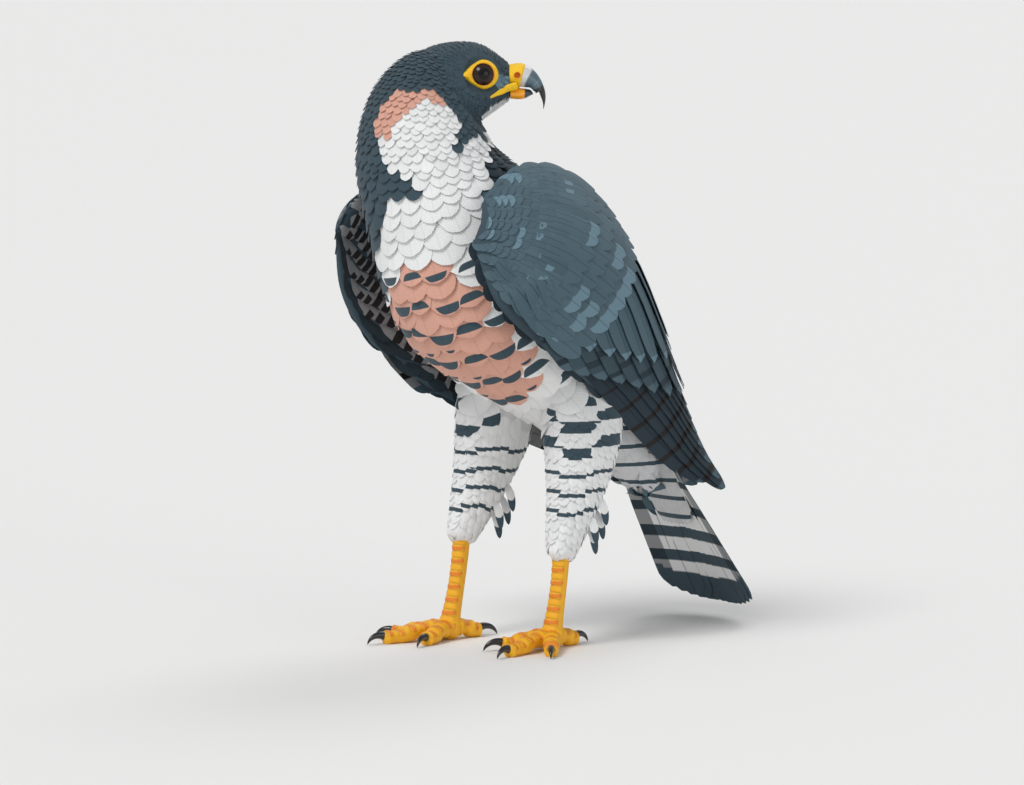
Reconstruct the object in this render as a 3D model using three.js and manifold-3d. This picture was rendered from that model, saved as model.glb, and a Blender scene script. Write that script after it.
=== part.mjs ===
// A life-size peregrine falcon, standing upright on level ground and looking back over its left shoulder.
// It faces -Y, with its left side at +X and +Z up, in millimetres. The origin lies on the ground,
// under the middle of the bird. Plumage that lies close is lofted with the body it covers. Flight
// feathers, their coverts and the tail feathers are thin vanes, each set on the surface it grows from.

import * as THREE from "three";
import { mergeVertices } from "three/addons/utils/BufferGeometryUtils.js";
import Module from "manifold-3d";

const wasm = await Module();
wasm.setup();

// Driving dimensions
const GAP = 0.3; // between pieces that touch
const MIDDLE = [4, -55]; // shifts the bird so that its middle is over the origin
const HEAD_AT = [-2, -31, 362]; // middle of the skull
const HEAD_TURN = 137; // degrees that the head is turned to the bird's left
const HEAD_NOD = -2; // degrees that the bill points below level
const HEAD_SIZE = 1.08; // of the head measures below, which suit a male
const TAIL_LENGTH = 160;
const TAIL_PITCH = 57.5; // degrees below level
const RIGHT_WING_OUT = 15; // how far the right wing's lower edge is lifted at the wrist, outwards
const RIGHT_WING_AHEAD = 8; // and forwards
const RIGHT_WING_DOWN = 27; // how far its lower edge droops halfway along

const rad = THREE.MathUtils.degToRad;
const vec = (x, y, z) => new THREE.Vector3(x, y, z);

// Solids

// A closed solid from vertices and triangles, turned to face outwards.
function solidOf(points, triangles) {
  const geometry = new THREE.BufferGeometry().setFromPoints(points);
  geometry.setIndex(triangles.flat());
  const merged = mergeVertices(geometry, 1e-4);
  const vertProperties = merged.getAttribute("position").array;
  const index = Array.from(merged.index.array);
  const corners = (i) => [0, 1, 2].map((k) => vec().fromArray(vertProperties, 3 * index[i + k]));
  let volume = 0;
  for (let i = 0; i < index.length; i += 3) {
    const [a, b, c] = corners(i);
    volume += a.dot(b.clone().cross(c));
  }
  if (volume < 0) index.reverse();
  return new wasm.Manifold(new wasm.Mesh({ numProp: 3, vertProperties, triVerts: new Uint32Array(index) }));
}

// A solid through rings of points, closed at both ends.
function ringSolid(rings) {
  const sides = rings[0].length;
  const points = rings.flat();
  const triangles = [];
  const at = (ring, side) => ring * sides + (side % sides);
  for (let r = 0; r + 1 < rings.length; r++) {
    for (let s = 0; s < sides; s++) {
      const opposite = at(r + 1, s + 1);
      triangles.push([at(r, s), at(r, s + 1), opposite], [at(r, s), opposite, at(r + 1, s)]);
    }
  }
  for (const [ring, turn] of [[0, -1], [rings.length - 1, 1]]) {
    const middle = points.length;
    points.push(rings[ring].reduce((sum, p) => sum.add(p), vec()).divideScalar(sides));
    for (let s = 0; s < sides; s++) {
      const face = [middle, at(ring, s), at(ring, s + 1)];
      triangles.push(turn > 0 ? face : face.reverse());
    }
  }
  return solidOf(points, triangles);
}

const union = (solids) => wasm.Manifold.union(solids);

// The largest closed body of a solid, without loose scraps.
function largest(solid) {
  return solid.decompose().reduce((best, body) => (body.volume() > best.volume() ? body : best));
}

// A solid less its neighbours.
function clearOf(solid, ...others) {
  return largest(others.reduce((left, other) => left.subtract(other), solid));
}

// A large block whose face passes through a point and that lies on the side that the normal points to.
function halfSpace(point, normal) {
  const size = 600;
  const box = new THREE.BoxGeometry(size, size, size);
  box.translate(0, 0, size / 2);
  const turn = new THREE.Quaternion().setFromUnitVectors(vec(0, 0, 1), normal.clone().normalize());
  box.applyQuaternion(turn).translate(...point.toArray());
  const bare = mergeVertices(box.deleteAttribute("normal").deleteAttribute("uv"), 1e-4);
  return new wasm.Manifold(
    new wasm.Mesh({
      numProp: 3,
      vertProperties: bare.getAttribute("position").array,
      triVerts: new Uint32Array(bare.index.array),
    }),
  );
}

// Mirrors a solid to the bird's other side.
const mirrored = (solid) => solid.mirror([1, 0, 0]);

// A smooth line through rows of numbers, read at u from 0 to 1.
function smoothRows(rows) {
  const spans = rows.length - 1;
  return (u) => {
    const at = Math.min(Math.max(u, 0), 1) * spans;
    const i = Math.min(Math.floor(at), spans - 1);
    const f = at - i;
    const row = (k) => rows[Math.min(Math.max(k, 0), spans)];
    return rows[0].map((_, c) => {
      const [a, b, d, e] = [row(i - 1)[c], row(i)[c], row(i + 1)[c], row(i + 2)[c]];
      return b + 0.5 * f * (d - a + f * (2 * a - 5 * b + 4 * d - e + f * (3 * (b - d) + e - a)));
    });
  };
}

// A point on an oval section: n is 2 for an ellipse and more for a squarer one.
function oval(angle, n) {
  const bend = (v) => Math.sign(v) * Math.abs(v) ** (2 / n);
  return [bend(Math.sin(angle)), bend(Math.cos(angle))];
}

// Trunk: neck, breast, back, belly and rump in one smooth body
// Each row holds the middle's x, y and z, the half width, and the half depths to the back and to the front.
const TRUNK_ROWS = [
  [-8, -37, 379, 10, 10, 10],
  [-14, -44, 367, 26, 25, 25],
  [-17, -48, 350, 37, 33, 35],
  [-19, -48, 330, 44, 38, 41],
  [-18, -44, 310, 49, 43, 47],
  [-12, -35, 288, 54, 52, 55],
  [-6, -20, 260, 60, 66, 65],
  [-4, -2, 229, 62, 73, 67],
  [-2, 20, 201, 56, 70, 54],
  [0, 45, 175, 48, 63, 41],
  [0, 74, 150, 38, 51, 31],
  [0, 100, 124, 27, 33, 23],
  [0, 115, 107, 18, 17, 14],
  [0, 127, 91, 9, 7, 7],
];
const TRUNK_RINGS = 21;
const TRUNK_SIDES = 24;
const trunkRow = smoothRows(TRUNK_ROWS);

// The trunk's middle line, with its direction and the direction of the back, at u from 0 to 1.
function trunkFrame(u) {
  const [x, y, z, width, back, front] = trunkRow(u);
  const ahead = vec(...trunkRow(Math.min(u + 0.01, 1)).slice(0, 3));
  const behind = vec(...trunkRow(Math.max(u - 0.01, 0)).slice(0, 3));
  const along = ahead.sub(behind).setX(0).normalize();
  return { middle: vec(x, y, z), along, dorsal: vec(0, -along.z, along.y), width, back, front };
}

function trunk(grow) {
  const rings = [];
  for (let i = 0; i <= TRUNK_RINGS; i++) {
    const { middle, dorsal, width, back, front } = trunkFrame(i / TRUNK_RINGS);
    const ring = [];
    for (let s = 0; s < TRUNK_SIDES; s++) {
      const [a, b] = oval((2 * Math.PI * s) / TRUNK_SIDES, 2.15);
      const depth = (b > 0 ? back : front) + grow;
      ring.push(middle.clone().add(vec(a * (width + grow), 0, 0)).addScaledVector(dorsal, b * depth));
    }
    rings.push(ring);
  }
  return ringSolid(rings);
}

// Head
// The head's own frame has x' towards the bill, y' to the head's left and z' up.
const headFrame = new THREE.Matrix4()
  .makeTranslation(...HEAD_AT)
  .multiply(new THREE.Matrix4().makeRotationZ(rad(HEAD_TURN - 90)))
  .multiply(new THREE.Matrix4().makeRotationY(rad(HEAD_NOD)))
  .multiply(new THREE.Matrix4().makeScale(HEAD_SIZE, HEAD_SIZE, HEAD_SIZE));
const inHead = (x, y, z) => vec(x, y, z).applyMatrix4(headFrame);
const headDirection = (x, y, z) => vec(x, y, z).transformDirection(headFrame);

// Each row holds x', the heights of the top, the widest level and the bottom, and the half width.
const HEAD_ROWS = [
  [-35, 3, -5, -13, 7],
  [-32, 10, -6, -21, 15],
  [-25, 18, -7, -27, 20.5],
  [-15, 22.8, -7, -30, 24],
  [-5, 24.5, -6, -29, 25],
  [4, 24.6, -5, -27, 24.5],
  [12, 23, -3.5, -23.5, 22.5],
  [19, 19, -2.5, -19, 18.6],
  [25, 14, -1.5, -15, 13.6],
  [29, 10.8, -1, -12.2, 9.8],
  [31, 9.4, -1, -11.2, 8.2],
];
const HEAD_RINGS = 14;
const HEAD_SIDES = 20;
const BILL_BASE = 31; // x' where the feathered face ends and the bill begins

function headBlock(grow) {
  const row = smoothRows(HEAD_ROWS);
  const rings = [];
  for (let i = 0; i <= HEAD_RINGS; i++) {
    const [x, top, level, bottom, width] = row(i / HEAD_RINGS);
    const ring = [];
    for (let s = 0; s < HEAD_SIDES; s++) {
      const [a, b] = oval((2 * Math.PI * s) / HEAD_SIDES, 2.2);
      const height = b > 0 ? top - level + grow : level - bottom + grow;
      ring.push(inHead(x, a * (width + grow), level + b * height));
    }
    rings.push(ring);
  }
  return ringSolid(rings);
}

// Eyes: balls that sit in sockets, looking a little forward, each with a bare ring of lid round it
const EYE_AT = [12.8, 11.6, 4.5]; // the ball's middle, on the left; the right is its mirror image
const EYE_RADIUS = 9.4;
const EYE_FORWARD = 17; // degrees that the gaze points forward of straight out
const LID_DEPTH = 5.6; // from the ball's middle out to the flat that carries the lid
const LID_INNER = 7.5;
const LID_OUTER = 10.2;
const LID_THICKNESS = 1.3;

// A solid from a geometry that is turned round an axis, with its seam and its poles merged.
function revolved(geometry) {
  const merged = mergeVertices(geometry.deleteAttribute("normal").deleteAttribute("uv"), 1e-4);
  const index = Array.from(merged.index.array);
  const faces = [];
  for (let i = 0; i < index.length; i += 3) {
    const face = index.slice(i, i + 3);
    if (new Set(face).size === 3) faces.push(face);
  }
  const position = merged.getAttribute("position");
  const points = Array.from({ length: position.count }, (_, i) => vec().fromBufferAttribute(position, i));
  return solidOf(points, faces);
}

function ball(centre, radius, sides = 16) {
  const sphere = new THREE.SphereGeometry(radius, sides, sides / 2);
  return revolved(sphere.translate(...centre.toArray()));
}

// A turned ring, disc or cone round an axis, from a profile of [radius, height] pairs.
function turned(profile, centre, axis, sides) {
  const lathe = new THREE.LatheGeometry(profile.map(([r, h]) => new THREE.Vector2(r, h)), sides);
  lathe.applyQuaternion(new THREE.Quaternion().setFromUnitVectors(vec(0, 1, 0), axis.clone().normalize()));
  return revolved(lathe.translate(...centre.toArray()));
}

function eye(side) {
  const [x, y, z] = EYE_AT;
  const centre = inHead(x, side * y, z);
  const gaze = headDirection(Math.sin(rad(EYE_FORWARD)), side * Math.cos(rad(EYE_FORWARD)), 0.06);
  const flat = centre.clone().addScaledVector(gaze, LID_DEPTH);
  const socket = turned([[0, 0], [LID_OUTER + GAP, 0], [LID_OUTER + 2.5, 8], [0, 8]], flat, gaze, 20);
  const lidProfile = [
    [LID_INNER + 0.3, GAP],
    [LID_OUTER, GAP],
    [LID_OUTER - 0.5, LID_THICKNESS * 0.8],
    [LID_OUTER - 1.3, LID_THICKNESS],
    [LID_INNER + 0.1, LID_THICKNESS * 0.9],
    [LID_INNER + 0.3, GAP],
  ];
  return {
    ball: ball(centre, EYE_RADIUS),
    hollow: ball(centre, EYE_RADIUS + GAP).add(socket),
    lid: turned(lidProfile, flat, gaze, 20).subtract(ball(centre, EYE_RADIUS + GAP)),
  };
}

// Bill: each row holds x' and z' of the ridge, x' and z' of the cutting edge, and the half width
const UPPER_ROWS = [
  [BILL_BASE, 9.2, BILL_BASE, -3.2, 8],
  [35, 9.6, 34.6, -3.9, 7.7],
  [39.5, 8.4, 38, -4.4, 6.7],
  [43.8, 5.2, 41, -4.9, 5.6],
  [47.2, 0.2, 43.2, -7, 4.4],
  [49.3, -5.4, 45, -6.6, 3.4],
  [49.9, -10, 46.8, -10.2, 2.2],
  [49.4, -14, 47.9, -13.8, 1.2],
  [48.4, -17.4, 48, -17.2, 0.3],
];
const LOWER_ROWS = [
  [BILL_BASE, -4, BILL_BASE, -11, 7.2],
  [35, -4.6, 34.8, -11.4, 6.4],
  [38.5, -5.1, 38, -10.9, 5.2],
  [41.2, -5.9, 40.6, -9.6, 3.6],
  [42.6, -8, 42.2, -8.9, 1.2],
];
const CERE_FRONT = 36.2; // x' where the bare cere ends and the horn begins
const NOSTRIL_AT = [34, 7.2, 3.2];
const NOSTRIL_RADIUS = 1.5;

function billBlock(rows, count, grow) {
  const row = smoothRows(rows);
  const sides = 12;
  const rings = [];
  for (let i = 0; i <= count; i++) {
    const [ridgeX, ridgeZ, edgeX, edgeZ, width] = row(i / count);
    const middle = vec((ridgeX + edgeX) / 2, 0, (ridgeZ + edgeZ) / 2);
    const up = vec(ridgeX - edgeX, 0, ridgeZ - edgeZ).divideScalar(2);
    up.setLength(up.length() + grow);
    const ring = [];
    for (let s = 0; s < sides; s++) {
      const [a, b] = oval((2 * Math.PI * s) / sides, 2.3);
      const local = middle.clone().addScaledVector(up, b);
      ring.push(inHead(local.x, a * (width + grow), local.z));
    }
    rings.push(ring);
  }
  return ringSolid(rings);
}

function bill() {
  const upper = billBlock(UPPER_ROWS, 14, 0);
  const lower = billBlock(LOWER_ROWS, 8, 0).subtract(billBlock(UPPER_ROWS, 14, GAP));
  const slant = headDirection(1, 0, -0.28);
  const front = halfSpace(inHead(CERE_FRONT + GAP / 2, 0, 0), slant);
  const back = halfSpace(inHead(CERE_FRONT - GAP / 2, 0, 0), slant.clone().negate());
  const face = halfSpace(inHead(BILL_BASE + GAP, 0, 0), headDirection(1, 0, 0));
  const nostrils = [-1, 1].map((side) => {
    const [x, y, z] = NOSTRIL_AT;
    const outward = headDirection(0.2, side, 0.15);
    const bore = [[0, -1.6], [NOSTRIL_RADIUS * 0.9, -1.6], [NOSTRIL_RADIUS, 3], [0, 3]];
    const knob = [[0, -2], [0.7, -2], [0.45, -0.1], [0, 0.3]];
    const at = inHead(x, side * y, z);
    return turned(bore, at, outward, 12).subtract(turned(knob, at, outward, 8));
  });
  return {
    cere: largest(upper.intersect(back).intersect(face).subtract(union(nostrils))),
    horn: largest(upper.intersect(front)),
    lower: largest(lower.intersect(face)),
  };
}

// The line of the mouth, cut back from the bill into the face on both sides
function mouthLine() {
  const length = 11;
  const box = new THREE.BoxGeometry(length, 24, 0.8);
  box.translate(BILL_BASE + 1 - length / 2, 0, -4.2);
  box.applyMatrix4(headFrame);
  const bare = mergeVertices(box.deleteAttribute("normal").deleteAttribute("uv"), 1e-4);
  const position = bare.getAttribute("position");
  const points = Array.from({ length: position.count }, (_, i) => vec().fromBufferAttribute(position, i));
  const index = Array.from(bare.index.array);
  const faces = Array.from({ length: index.length / 3 }, (_, i) => index.slice(3 * i, 3 * i + 3));
  return solidOf(points, faces);
}

// Flesh: head, neck and torso are one body, parted by thin cuts
const HEAD_CUT_AT = [-8, 0, -20]; // in the head's frame
const HEAD_CUT_NORMAL = [0.3, 0, 1];
const NECK_CUT_AT = 0.37; // share of the trunk's length
const RUMP_CUT_AT = 0.81;

function parted(body, point, normal) {
  const above = halfSpace(point.clone().addScaledVector(normal, GAP / 2), normal);
  const below = halfSpace(point.clone().addScaledVector(normal, -GAP / 2), normal.clone().negate());
  return [largest(body.intersect(above)), largest(body.intersect(below))];
}

function flesh(eyes) {
  const whole = trunk(0).add(headBlock(0));
  const headCut = headDirection(...HEAD_CUT_NORMAL).normalize();
  const [headSide, rest] = parted(whole, inHead(...HEAD_CUT_AT), headCut);
  const neckFrame = trunkFrame(NECK_CUT_AT);
  const [neck, lower] = parted(rest, neckFrame.middle, neckFrame.along.clone().negate());
  const rumpFrame = trunkFrame(RUMP_CUT_AT);
  const [torso] = parted(lower, rumpFrame.middle, rumpFrame.along.clone().negate());
  const faceCut = halfSpace(inHead(BILL_BASE, 0, 0), headDirection(1, 0, 0));
  const head = clearOf(headSide, ...eyes.map((e) => e.hollow), faceCut, mouthLine());
  return { head, neck, torso };
}

// Tail: a core of coverts that narrows from the rump, and twelve feathers in a roof
const TAIL_FEATHERS = 12;
const TAIL_ROOT = vec(0, 106, 144);
const tailAlong = vec(0, Math.cos(rad(TAIL_PITCH)), -Math.sin(rad(TAIL_PITCH)));
const tailDorsal = vec(0, Math.sin(rad(TAIL_PITCH)), Math.cos(rad(TAIL_PITCH)));

function tailPoint(across, along, above) {
  const root = vec(across, 0, 0).add(TAIL_ROOT);
  return root.addScaledVector(tailAlong, along).addScaledVector(tailDorsal, above);
}

// Each row holds the distance from the root, the half width, and the depths to the back and to the front.
const TAIL_CORE_ROWS = [
  [-12, 26, 26, 24],
  [6, 25, 22, 21],
  [24, 21, 14, 15],
  [44, 16, 7, 9],
  [62, 10, 2.5, 4],
  [74, 4, 0.8, 1.5],
];

function tailCore(grow) {
  const row = smoothRows(TAIL_CORE_ROWS);
  const rings = [];
  const count = 9;
  for (let i = 0; i <= count; i++) {
    const [along, width, back, front] = row(i / count);
    const ring = [];
    for (let s = 0; s < 16; s++) {
      const [a, b] = oval((2 * Math.PI * s) / 16, 2.1);
      ring.push(tailPoint(a * (width + grow), along, b * ((b > 0 ? back : front) + grow)));
    }
    rings.push(ring);
  }
  return ringSolid(rings);
}

// A thin vane: it follows a line of points on the surface that carries it, with the outward normal at
// each, and has the half width that profile gives. Both faces are split into triangles alike.
const VANE_THICKNESS = 0.6;

function vane(line, normals, profile, camber, lean = 0) {
  const rows = line.length;
  const across = [-1, 0, 1];
  const top = [];
  const bottom = [];
  for (let i = 0; i < rows; i++) {
    const along = line[Math.min(i + 1, rows - 1)].clone().sub(line[Math.max(i - 1, 0)]).normalize();
    const side = along.clone().cross(normals[i]).normalize();
    const out = side.clone().cross(along).normalize();
    const width = profile(i / (rows - 1));
    const share = width / profile.widest;
    for (const a of across) {
      const point = line[i].clone().addScaledVector(side, a * width);
      point.addScaledVector(out, (lean * a - camber * a * a) * share);
      top.push(point.clone().addScaledVector(out, VANE_THICKNESS / 2));
      bottom.push(point.addScaledVector(out, -VANE_THICKNESS / 2));
    }
  }
  const points = [...top, ...bottom];
  const n = across.length;
  const triangles = [];
  for (let i = 0; i + 1 < rows; i++) {
    for (let j = 0; j + 1 < n; j++) {
      const [a, b, c, d] = [i * n + j, i * n + j + 1, (i + 1) * n + j + 1, (i + 1) * n + j];
      triangles.push([a, b, c], [a, c, d]);
      triangles.push(...[[a, c, b], [a, d, c]].map((face) => face.map((v) => v + top.length)));
    }
  }
  const wall = (b, a) => triangles.push([a, a + top.length, b + top.length], [a, b + top.length, b]);
  for (let i = 0; i + 1 < rows; i++) {
    wall(i * n, (i + 1) * n);
    wall((i + 1) * n + n - 1, i * n + n - 1);
  }
  for (let j = 0; j + 1 < n; j++) {
    wall(j + 1, j);
    wall((rows - 1) * n + j, (rows - 1) * n + j + 1);
  }
  return solidOf(points, triangles);
}

// The half width of a vane from its root to its tip: round is the share of the length that the tip
// takes to close, and end the share of the width that is left there.
function outline(widest, rootShare, round, end = 0.28) {
  const profile = (f) => {
    const grow = rootShare + (1 - rootShare) * Math.min(f / 0.45, 1) ** 0.8;
    const close = f > 1 - round ? Math.sqrt(Math.max(1 - ((f - 1 + round) / round) ** 2, end * end)) : 1;
    return widest * grow * close;
  };
  profile.widest = widest;
  return profile;
}

const TAIL_FEATHER_WIDTH = 11.5; // half
const TAIL_FAN = 1.6; // degrees between neighbouring pairs
const TAIL_LAYER = 0.95; // from one feather down to the next one out

function tailFeather(pair, side) {
  const splay = side * rad(0.6 + TAIL_FAN * pair);
  const length = TAIL_LENGTH - 0.35 * pair * pair;
  const steps = 5;
  const line = [];
  const normals = [];
  for (let i = 0; i <= steps; i++) {
    const f = i / steps;
    const along = 14 + (length - 14) * f;
    const across = side * (1.2 + pair * 2.3) + Math.sin(splay) * along;
    const above = 3.2 - (pair + (side > 0 ? 0.5 : 0)) * TAIL_LAYER * (0.35 + 0.65 * Math.min(f * 3, 1));
    line.push(tailPoint(across, Math.cos(splay) * along, above));
    normals.push(tailDorsal.clone().addScaledVector(vec(1, 0, 0), side * 0.05 * pair));
  }
  return vane(line, normals, outline(TAIL_FEATHER_WIDTH, 0.35, 0.09, 0.45), 0.5);
}

function tail() {
  const rumpFrame = trunkFrame(RUMP_CUT_AT);
  const face = rumpFrame.middle.clone().addScaledVector(rumpFrame.along, GAP / 2);
  const feathers = [];
  for (let pair = 0; pair < TAIL_FEATHERS / 2; pair++) {
    for (const side of [1, -1]) feathers.push(tailFeather(pair, side));
  }
  const whole = union([trunk(0), tailCore(0), ...feathers]);
  return largest(whole.intersect(halfSpace(face, rumpFrame.along)));
}

// Legs: feathered thigh, bare scaled shank, four toes and four claws
// Each row holds the middle's x, y and z, the half width across the bird and the half depth along it.
function legRows(hip, hem) {
  return [0, 0.2, 0.42, 0.64, 0.83, 1].map((f, i) => {
    const bow = 5 * Math.sin(Math.PI * f);
    const [width, depth] = [[21, 30], [22.5, 30], [20.5, 26.5], [16.5, 21], [13, 16.5], [9.5, 12]][i];
    const at = hip.map((v, k) => v + (hem[k] - v) * f);
    return [at[0], at[1] + bow, at[2], width, depth];
  });
}

const LEFT_LEG = { side: 1, hip: [31, 44, 166], hem: [36, 20, 60], ball: [36, 13], toeOut: 14 };
const RIGHT_LEG = { side: -1, hip: [-33, 28, 166], hem: [-38, -1, 66], ball: [-38, -11], toeOut: 12 };
const SHANK_TOP = 86; // height at which the shank is lost in the thigh
const SHANK_RADIUS = 4.8;
const BALL_RADIUS = 8.2;
const BALL_HEIGHT = 7.6;

function thigh(leg, grow) {
  const row = smoothRows(legRows(leg.hip, leg.hem));
  const rings = [];
  const count = 8;
  for (let i = 0; i <= count; i++) {
    const [x, y, z, width, depth] = row(i / count);
    const ring = [];
    for (let s = 0; s < 16; s++) {
      const [a, b] = oval((2 * Math.PI * s) / 16, 2.1);
      const drop = i === count ? -grow : i === 0 ? grow : 0;
      ring.push(vec(x + a * (width + grow), y + b * (depth + grow), z + drop - 0.25 * b * depth));
    }
    rings.push(ring);
  }
  return ringSolid(rings);
}

// A limb through points, with a radius at each, flattened where squash is under 1.
function limb(points, radii, sides, squash = 1, scutes = 0) {
  const count = points.length;
  const rings = points.map((point, i) => {
    const along = points[Math.min(i + 1, count - 1)].clone().sub(points[Math.max(i - 1, 0)]).normalize();
    const side = vec(0, 0, 1).cross(along);
    if (side.length() < 0.3) side.set(1, 0, 0);
    side.normalize();
    const up = along.clone().cross(side).normalize();
    const ring = [];
    for (let s = 0; s < sides; s++) {
      const [a, b] = oval((2 * Math.PI * (s + 0.5)) / sides, 2);
      const plate = b > 0.3 && i % 2 ? scutes : 0;
      const height = b * (radii[i] + plate) * squash;
      ring.push(point.clone().addScaledVector(side, a * radii[i]).addScaledVector(up, height));
    }
    return ring;
  });
  return ringSolid(rings);
}

function ballAt(leg) {
  return vec(leg.ball[0], leg.ball[1], BALL_HEIGHT);
}

function shank(leg) {
  const top = vec(leg.hem[0], leg.hem[1] + 2, SHANK_TOP);
  const foot = ballAt(leg);
  const count = 12;
  const points = [];
  const radii = [];
  for (let i = 0; i <= count; i++) {
    const f = i / count;
    points.push(top.clone().lerp(foot, f).add(vec(0, 2.5 * Math.sin(Math.PI * f), 0)));
    radii.push(SHANK_RADIUS + 1.6 * (1 - f) ** 3 + 2.2 * f ** 6);
  }
  return limb(points, radii, 10, 1, 0.5);
}

const SCUTE_SPACING = 5.6;

// Each toe's name, its direction from straight ahead (positive is outward), length, radius and claw size.
const TOES = [
  ["middle", 0, 48, 4.9, 15],
  ["inner", -36, 34, 5, 16],
  ["outer", 35, 38, 4.7, 14],
  ["hind", 176, 23, 5.2, 18],
];

function toeShape(leg, [, splay, length, radius, claw], grow = 0) {
  const heading = rad(leg.side * (leg.toeOut + splay));
  const ahead = vec(Math.sin(heading), -Math.cos(heading), 0);
  const foot = ballAt(leg);
  const count = Math.round(length / SCUTE_SPACING) * 2;
  const points = [];
  const radii = [];
  for (let i = 0; i <= count; i++) {
    const f = i / count;
    const reach = 3 + (length - 3) * f;
    const knuckle = Math.sin(Math.PI * Math.min(f * 1.35, 1)) * 1.6;
    const height = BALL_HEIGHT - 0.6 + (radius - 1 - BALL_HEIGHT + 0.6) * Math.min(f * 1.4, 1) + knuckle;
    points.push(vec(foot.x, foot.y, 0).addScaledVector(ahead, reach).setZ(height));
    const pads = 0.55 * Math.cos(f * Math.PI * 2 * 2.5);
    const tip = f > 0.93 ? Math.sqrt(Math.max(1 - ((f - 0.93) / 0.09) ** 2, 0.2)) : 1;
    radii.push((radius * (1.12 - 0.2 * f) - pads) * tip + grow);
  }
  const solid = limb(points, radii, 7, 0.95, 0.5);
  const root = points[points.length - 1].clone().addScaledVector(ahead, -2.2).setZ(radius - 0.2);
  const clawLine = [];
  const clawRadii = [];
  const clawSteps = 6;
  for (let i = 0; i <= clawSteps; i++) {
    const f = i / clawSteps;
    const turn = rad(18 - 92 * f);
    const last = clawLine.length ? clawLine[clawLine.length - 1] : root;
    const step = i ? (claw + 2) / clawSteps : 0;
    const climb = vec(0, 0, Math.sin(turn) * step);
    clawLine.push(last.clone().addScaledVector(ahead, Math.cos(turn) * step).add(climb));
    clawRadii.push(2.5 * (1 - f) ** 0.75 + 0.25);
  }
  const lowest = clawLine[clawSteps].z;
  const lift = Math.max(0.5 - lowest, 0);
  clawLine.forEach((point, i) => (point.z += (lift * i) / clawSteps));
  return { solid, claw: limb(clawLine, clawRadii, 6) };
}

function leg(which) {
  const ground = halfSpace(vec(0, 0, 0), vec(0, 0, 1));
  const flesh = thigh(which, 0).subtract(trunk(GAP));
  const ballSolid = ball(ballAt(which), BALL_RADIUS, 12);
  const bare = largest(shank(which).add(ballSolid).subtract(thigh(which, GAP)).intersect(ground));
  const keepOff = ball(ballAt(which), BALL_RADIUS + GAP, 12).add(shank(which));
  const middleToe = toeShape(which, TOES[0], GAP).solid;
  const toes = TOES.map((toe) => {
    const shape = toeShape(which, toe);
    const others = toe === TOES[0] ? [keepOff] : [keepOff, middleToe];
    return {
      name: toe[0],
      toe: clearOf(shape.solid.intersect(ground), ...others),
      claw: clearOf(shape.claw, toeShape(which, toe, GAP).solid),
    };
  });
  return { thigh: largest(flesh), shank: bare, toes };
}

// Folded wing: its outer surface runs from the wrist to the tip and from the lower edge to the upper
// Each row holds the lower edge's x, y and z, the upper edge's, the outward bulge and the thickness.
const WING_ROWS = [
  [57, -69, 266, 50, -56, 289, 5, 9],
  [66, -62, 234, 43, -17, 310, 15, 13],
  [69, -44, 213, 33, 34, 298, 23, 14],
  [66, -6, 188, 22, 77, 262, 26, 12],
  [57, 42, 160, 15, 106, 216, 21, 9],
  [45, 88, 131, 13, 131, 174, 14, 7],
  [31, 134, 106, 13, 158, 132, 6, 5],
  [17, 183, 86, 14, 187, 90, 1, 2],
];
const wingRow = smoothRows(WING_ROWS);

// A point on the left wing's outer surface, s from wrist to tip and t from lower to upper edge. With lift
// at 1 the wing hangs away from the body, as the right one does before it is mirrored.
function wingPoint(s, t, lift = 0) {
  const row = wingRow(s);
  const beyond = wingRow(Math.min(s + 0.01, 1));
  const before = wingRow(Math.max(s - 0.01, 0));
  const lower = vec(...row.slice(0, 3));
  const upper = vec(...row.slice(3, 6));
  const along = vec(...beyond.slice(0, 3)).add(vec(...beyond.slice(3, 6)));
  along.sub(vec(...before.slice(0, 3))).sub(vec(...before.slice(3, 6)));
  const outward = along.cross(upper.clone().sub(lower)).normalize();
  if (outward.x < 0) outward.negate();
  const bulge = row[6] * 4 * t * (1 - t);
  const past = Math.max(s - 1, 0);
  const point = lower.lerp(upper, t).addScaledVector(outward, bulge);
  if (past > 0) {
    const end = vec(...WING_ROWS[7].slice(0, 3)).sub(vec(...WING_ROWS[6].slice(0, 3)));
    point.addScaledVector(end, past * (WING_ROWS.length - 1));
  }
  const share = lift * Math.max(1 - s, 0) ** 1.3;
  point.x += share * RIGHT_WING_OUT * (1 + 0.25 * t);
  point.y -= share * RIGHT_WING_AHEAD * (1 - 0.5 * t);
  point.z -= lift * RIGHT_WING_DOWN * (1 - t) * Math.sin(Math.PI * Math.min(s, 1)) ** 2;
  return point;
}

function wingNormal(s, t, lift = 0) {
  const d = 0.01;
  const along = wingPoint(Math.min(s + d, 1), t, lift).sub(wingPoint(Math.max(s - d, 0), t, lift));
  const across = wingPoint(s, t + d, lift).sub(wingPoint(s, t - d, lift));
  const normal = along.cross(across).normalize();
  return normal.x < 0 ? normal.negate() : normal;
}

// The body of the wing ends under its feathers, and its outer surface sinks to make room for them.
const WING_BODY_END = 0.62;
const WING_BODY_SINK = 5.4;

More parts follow.
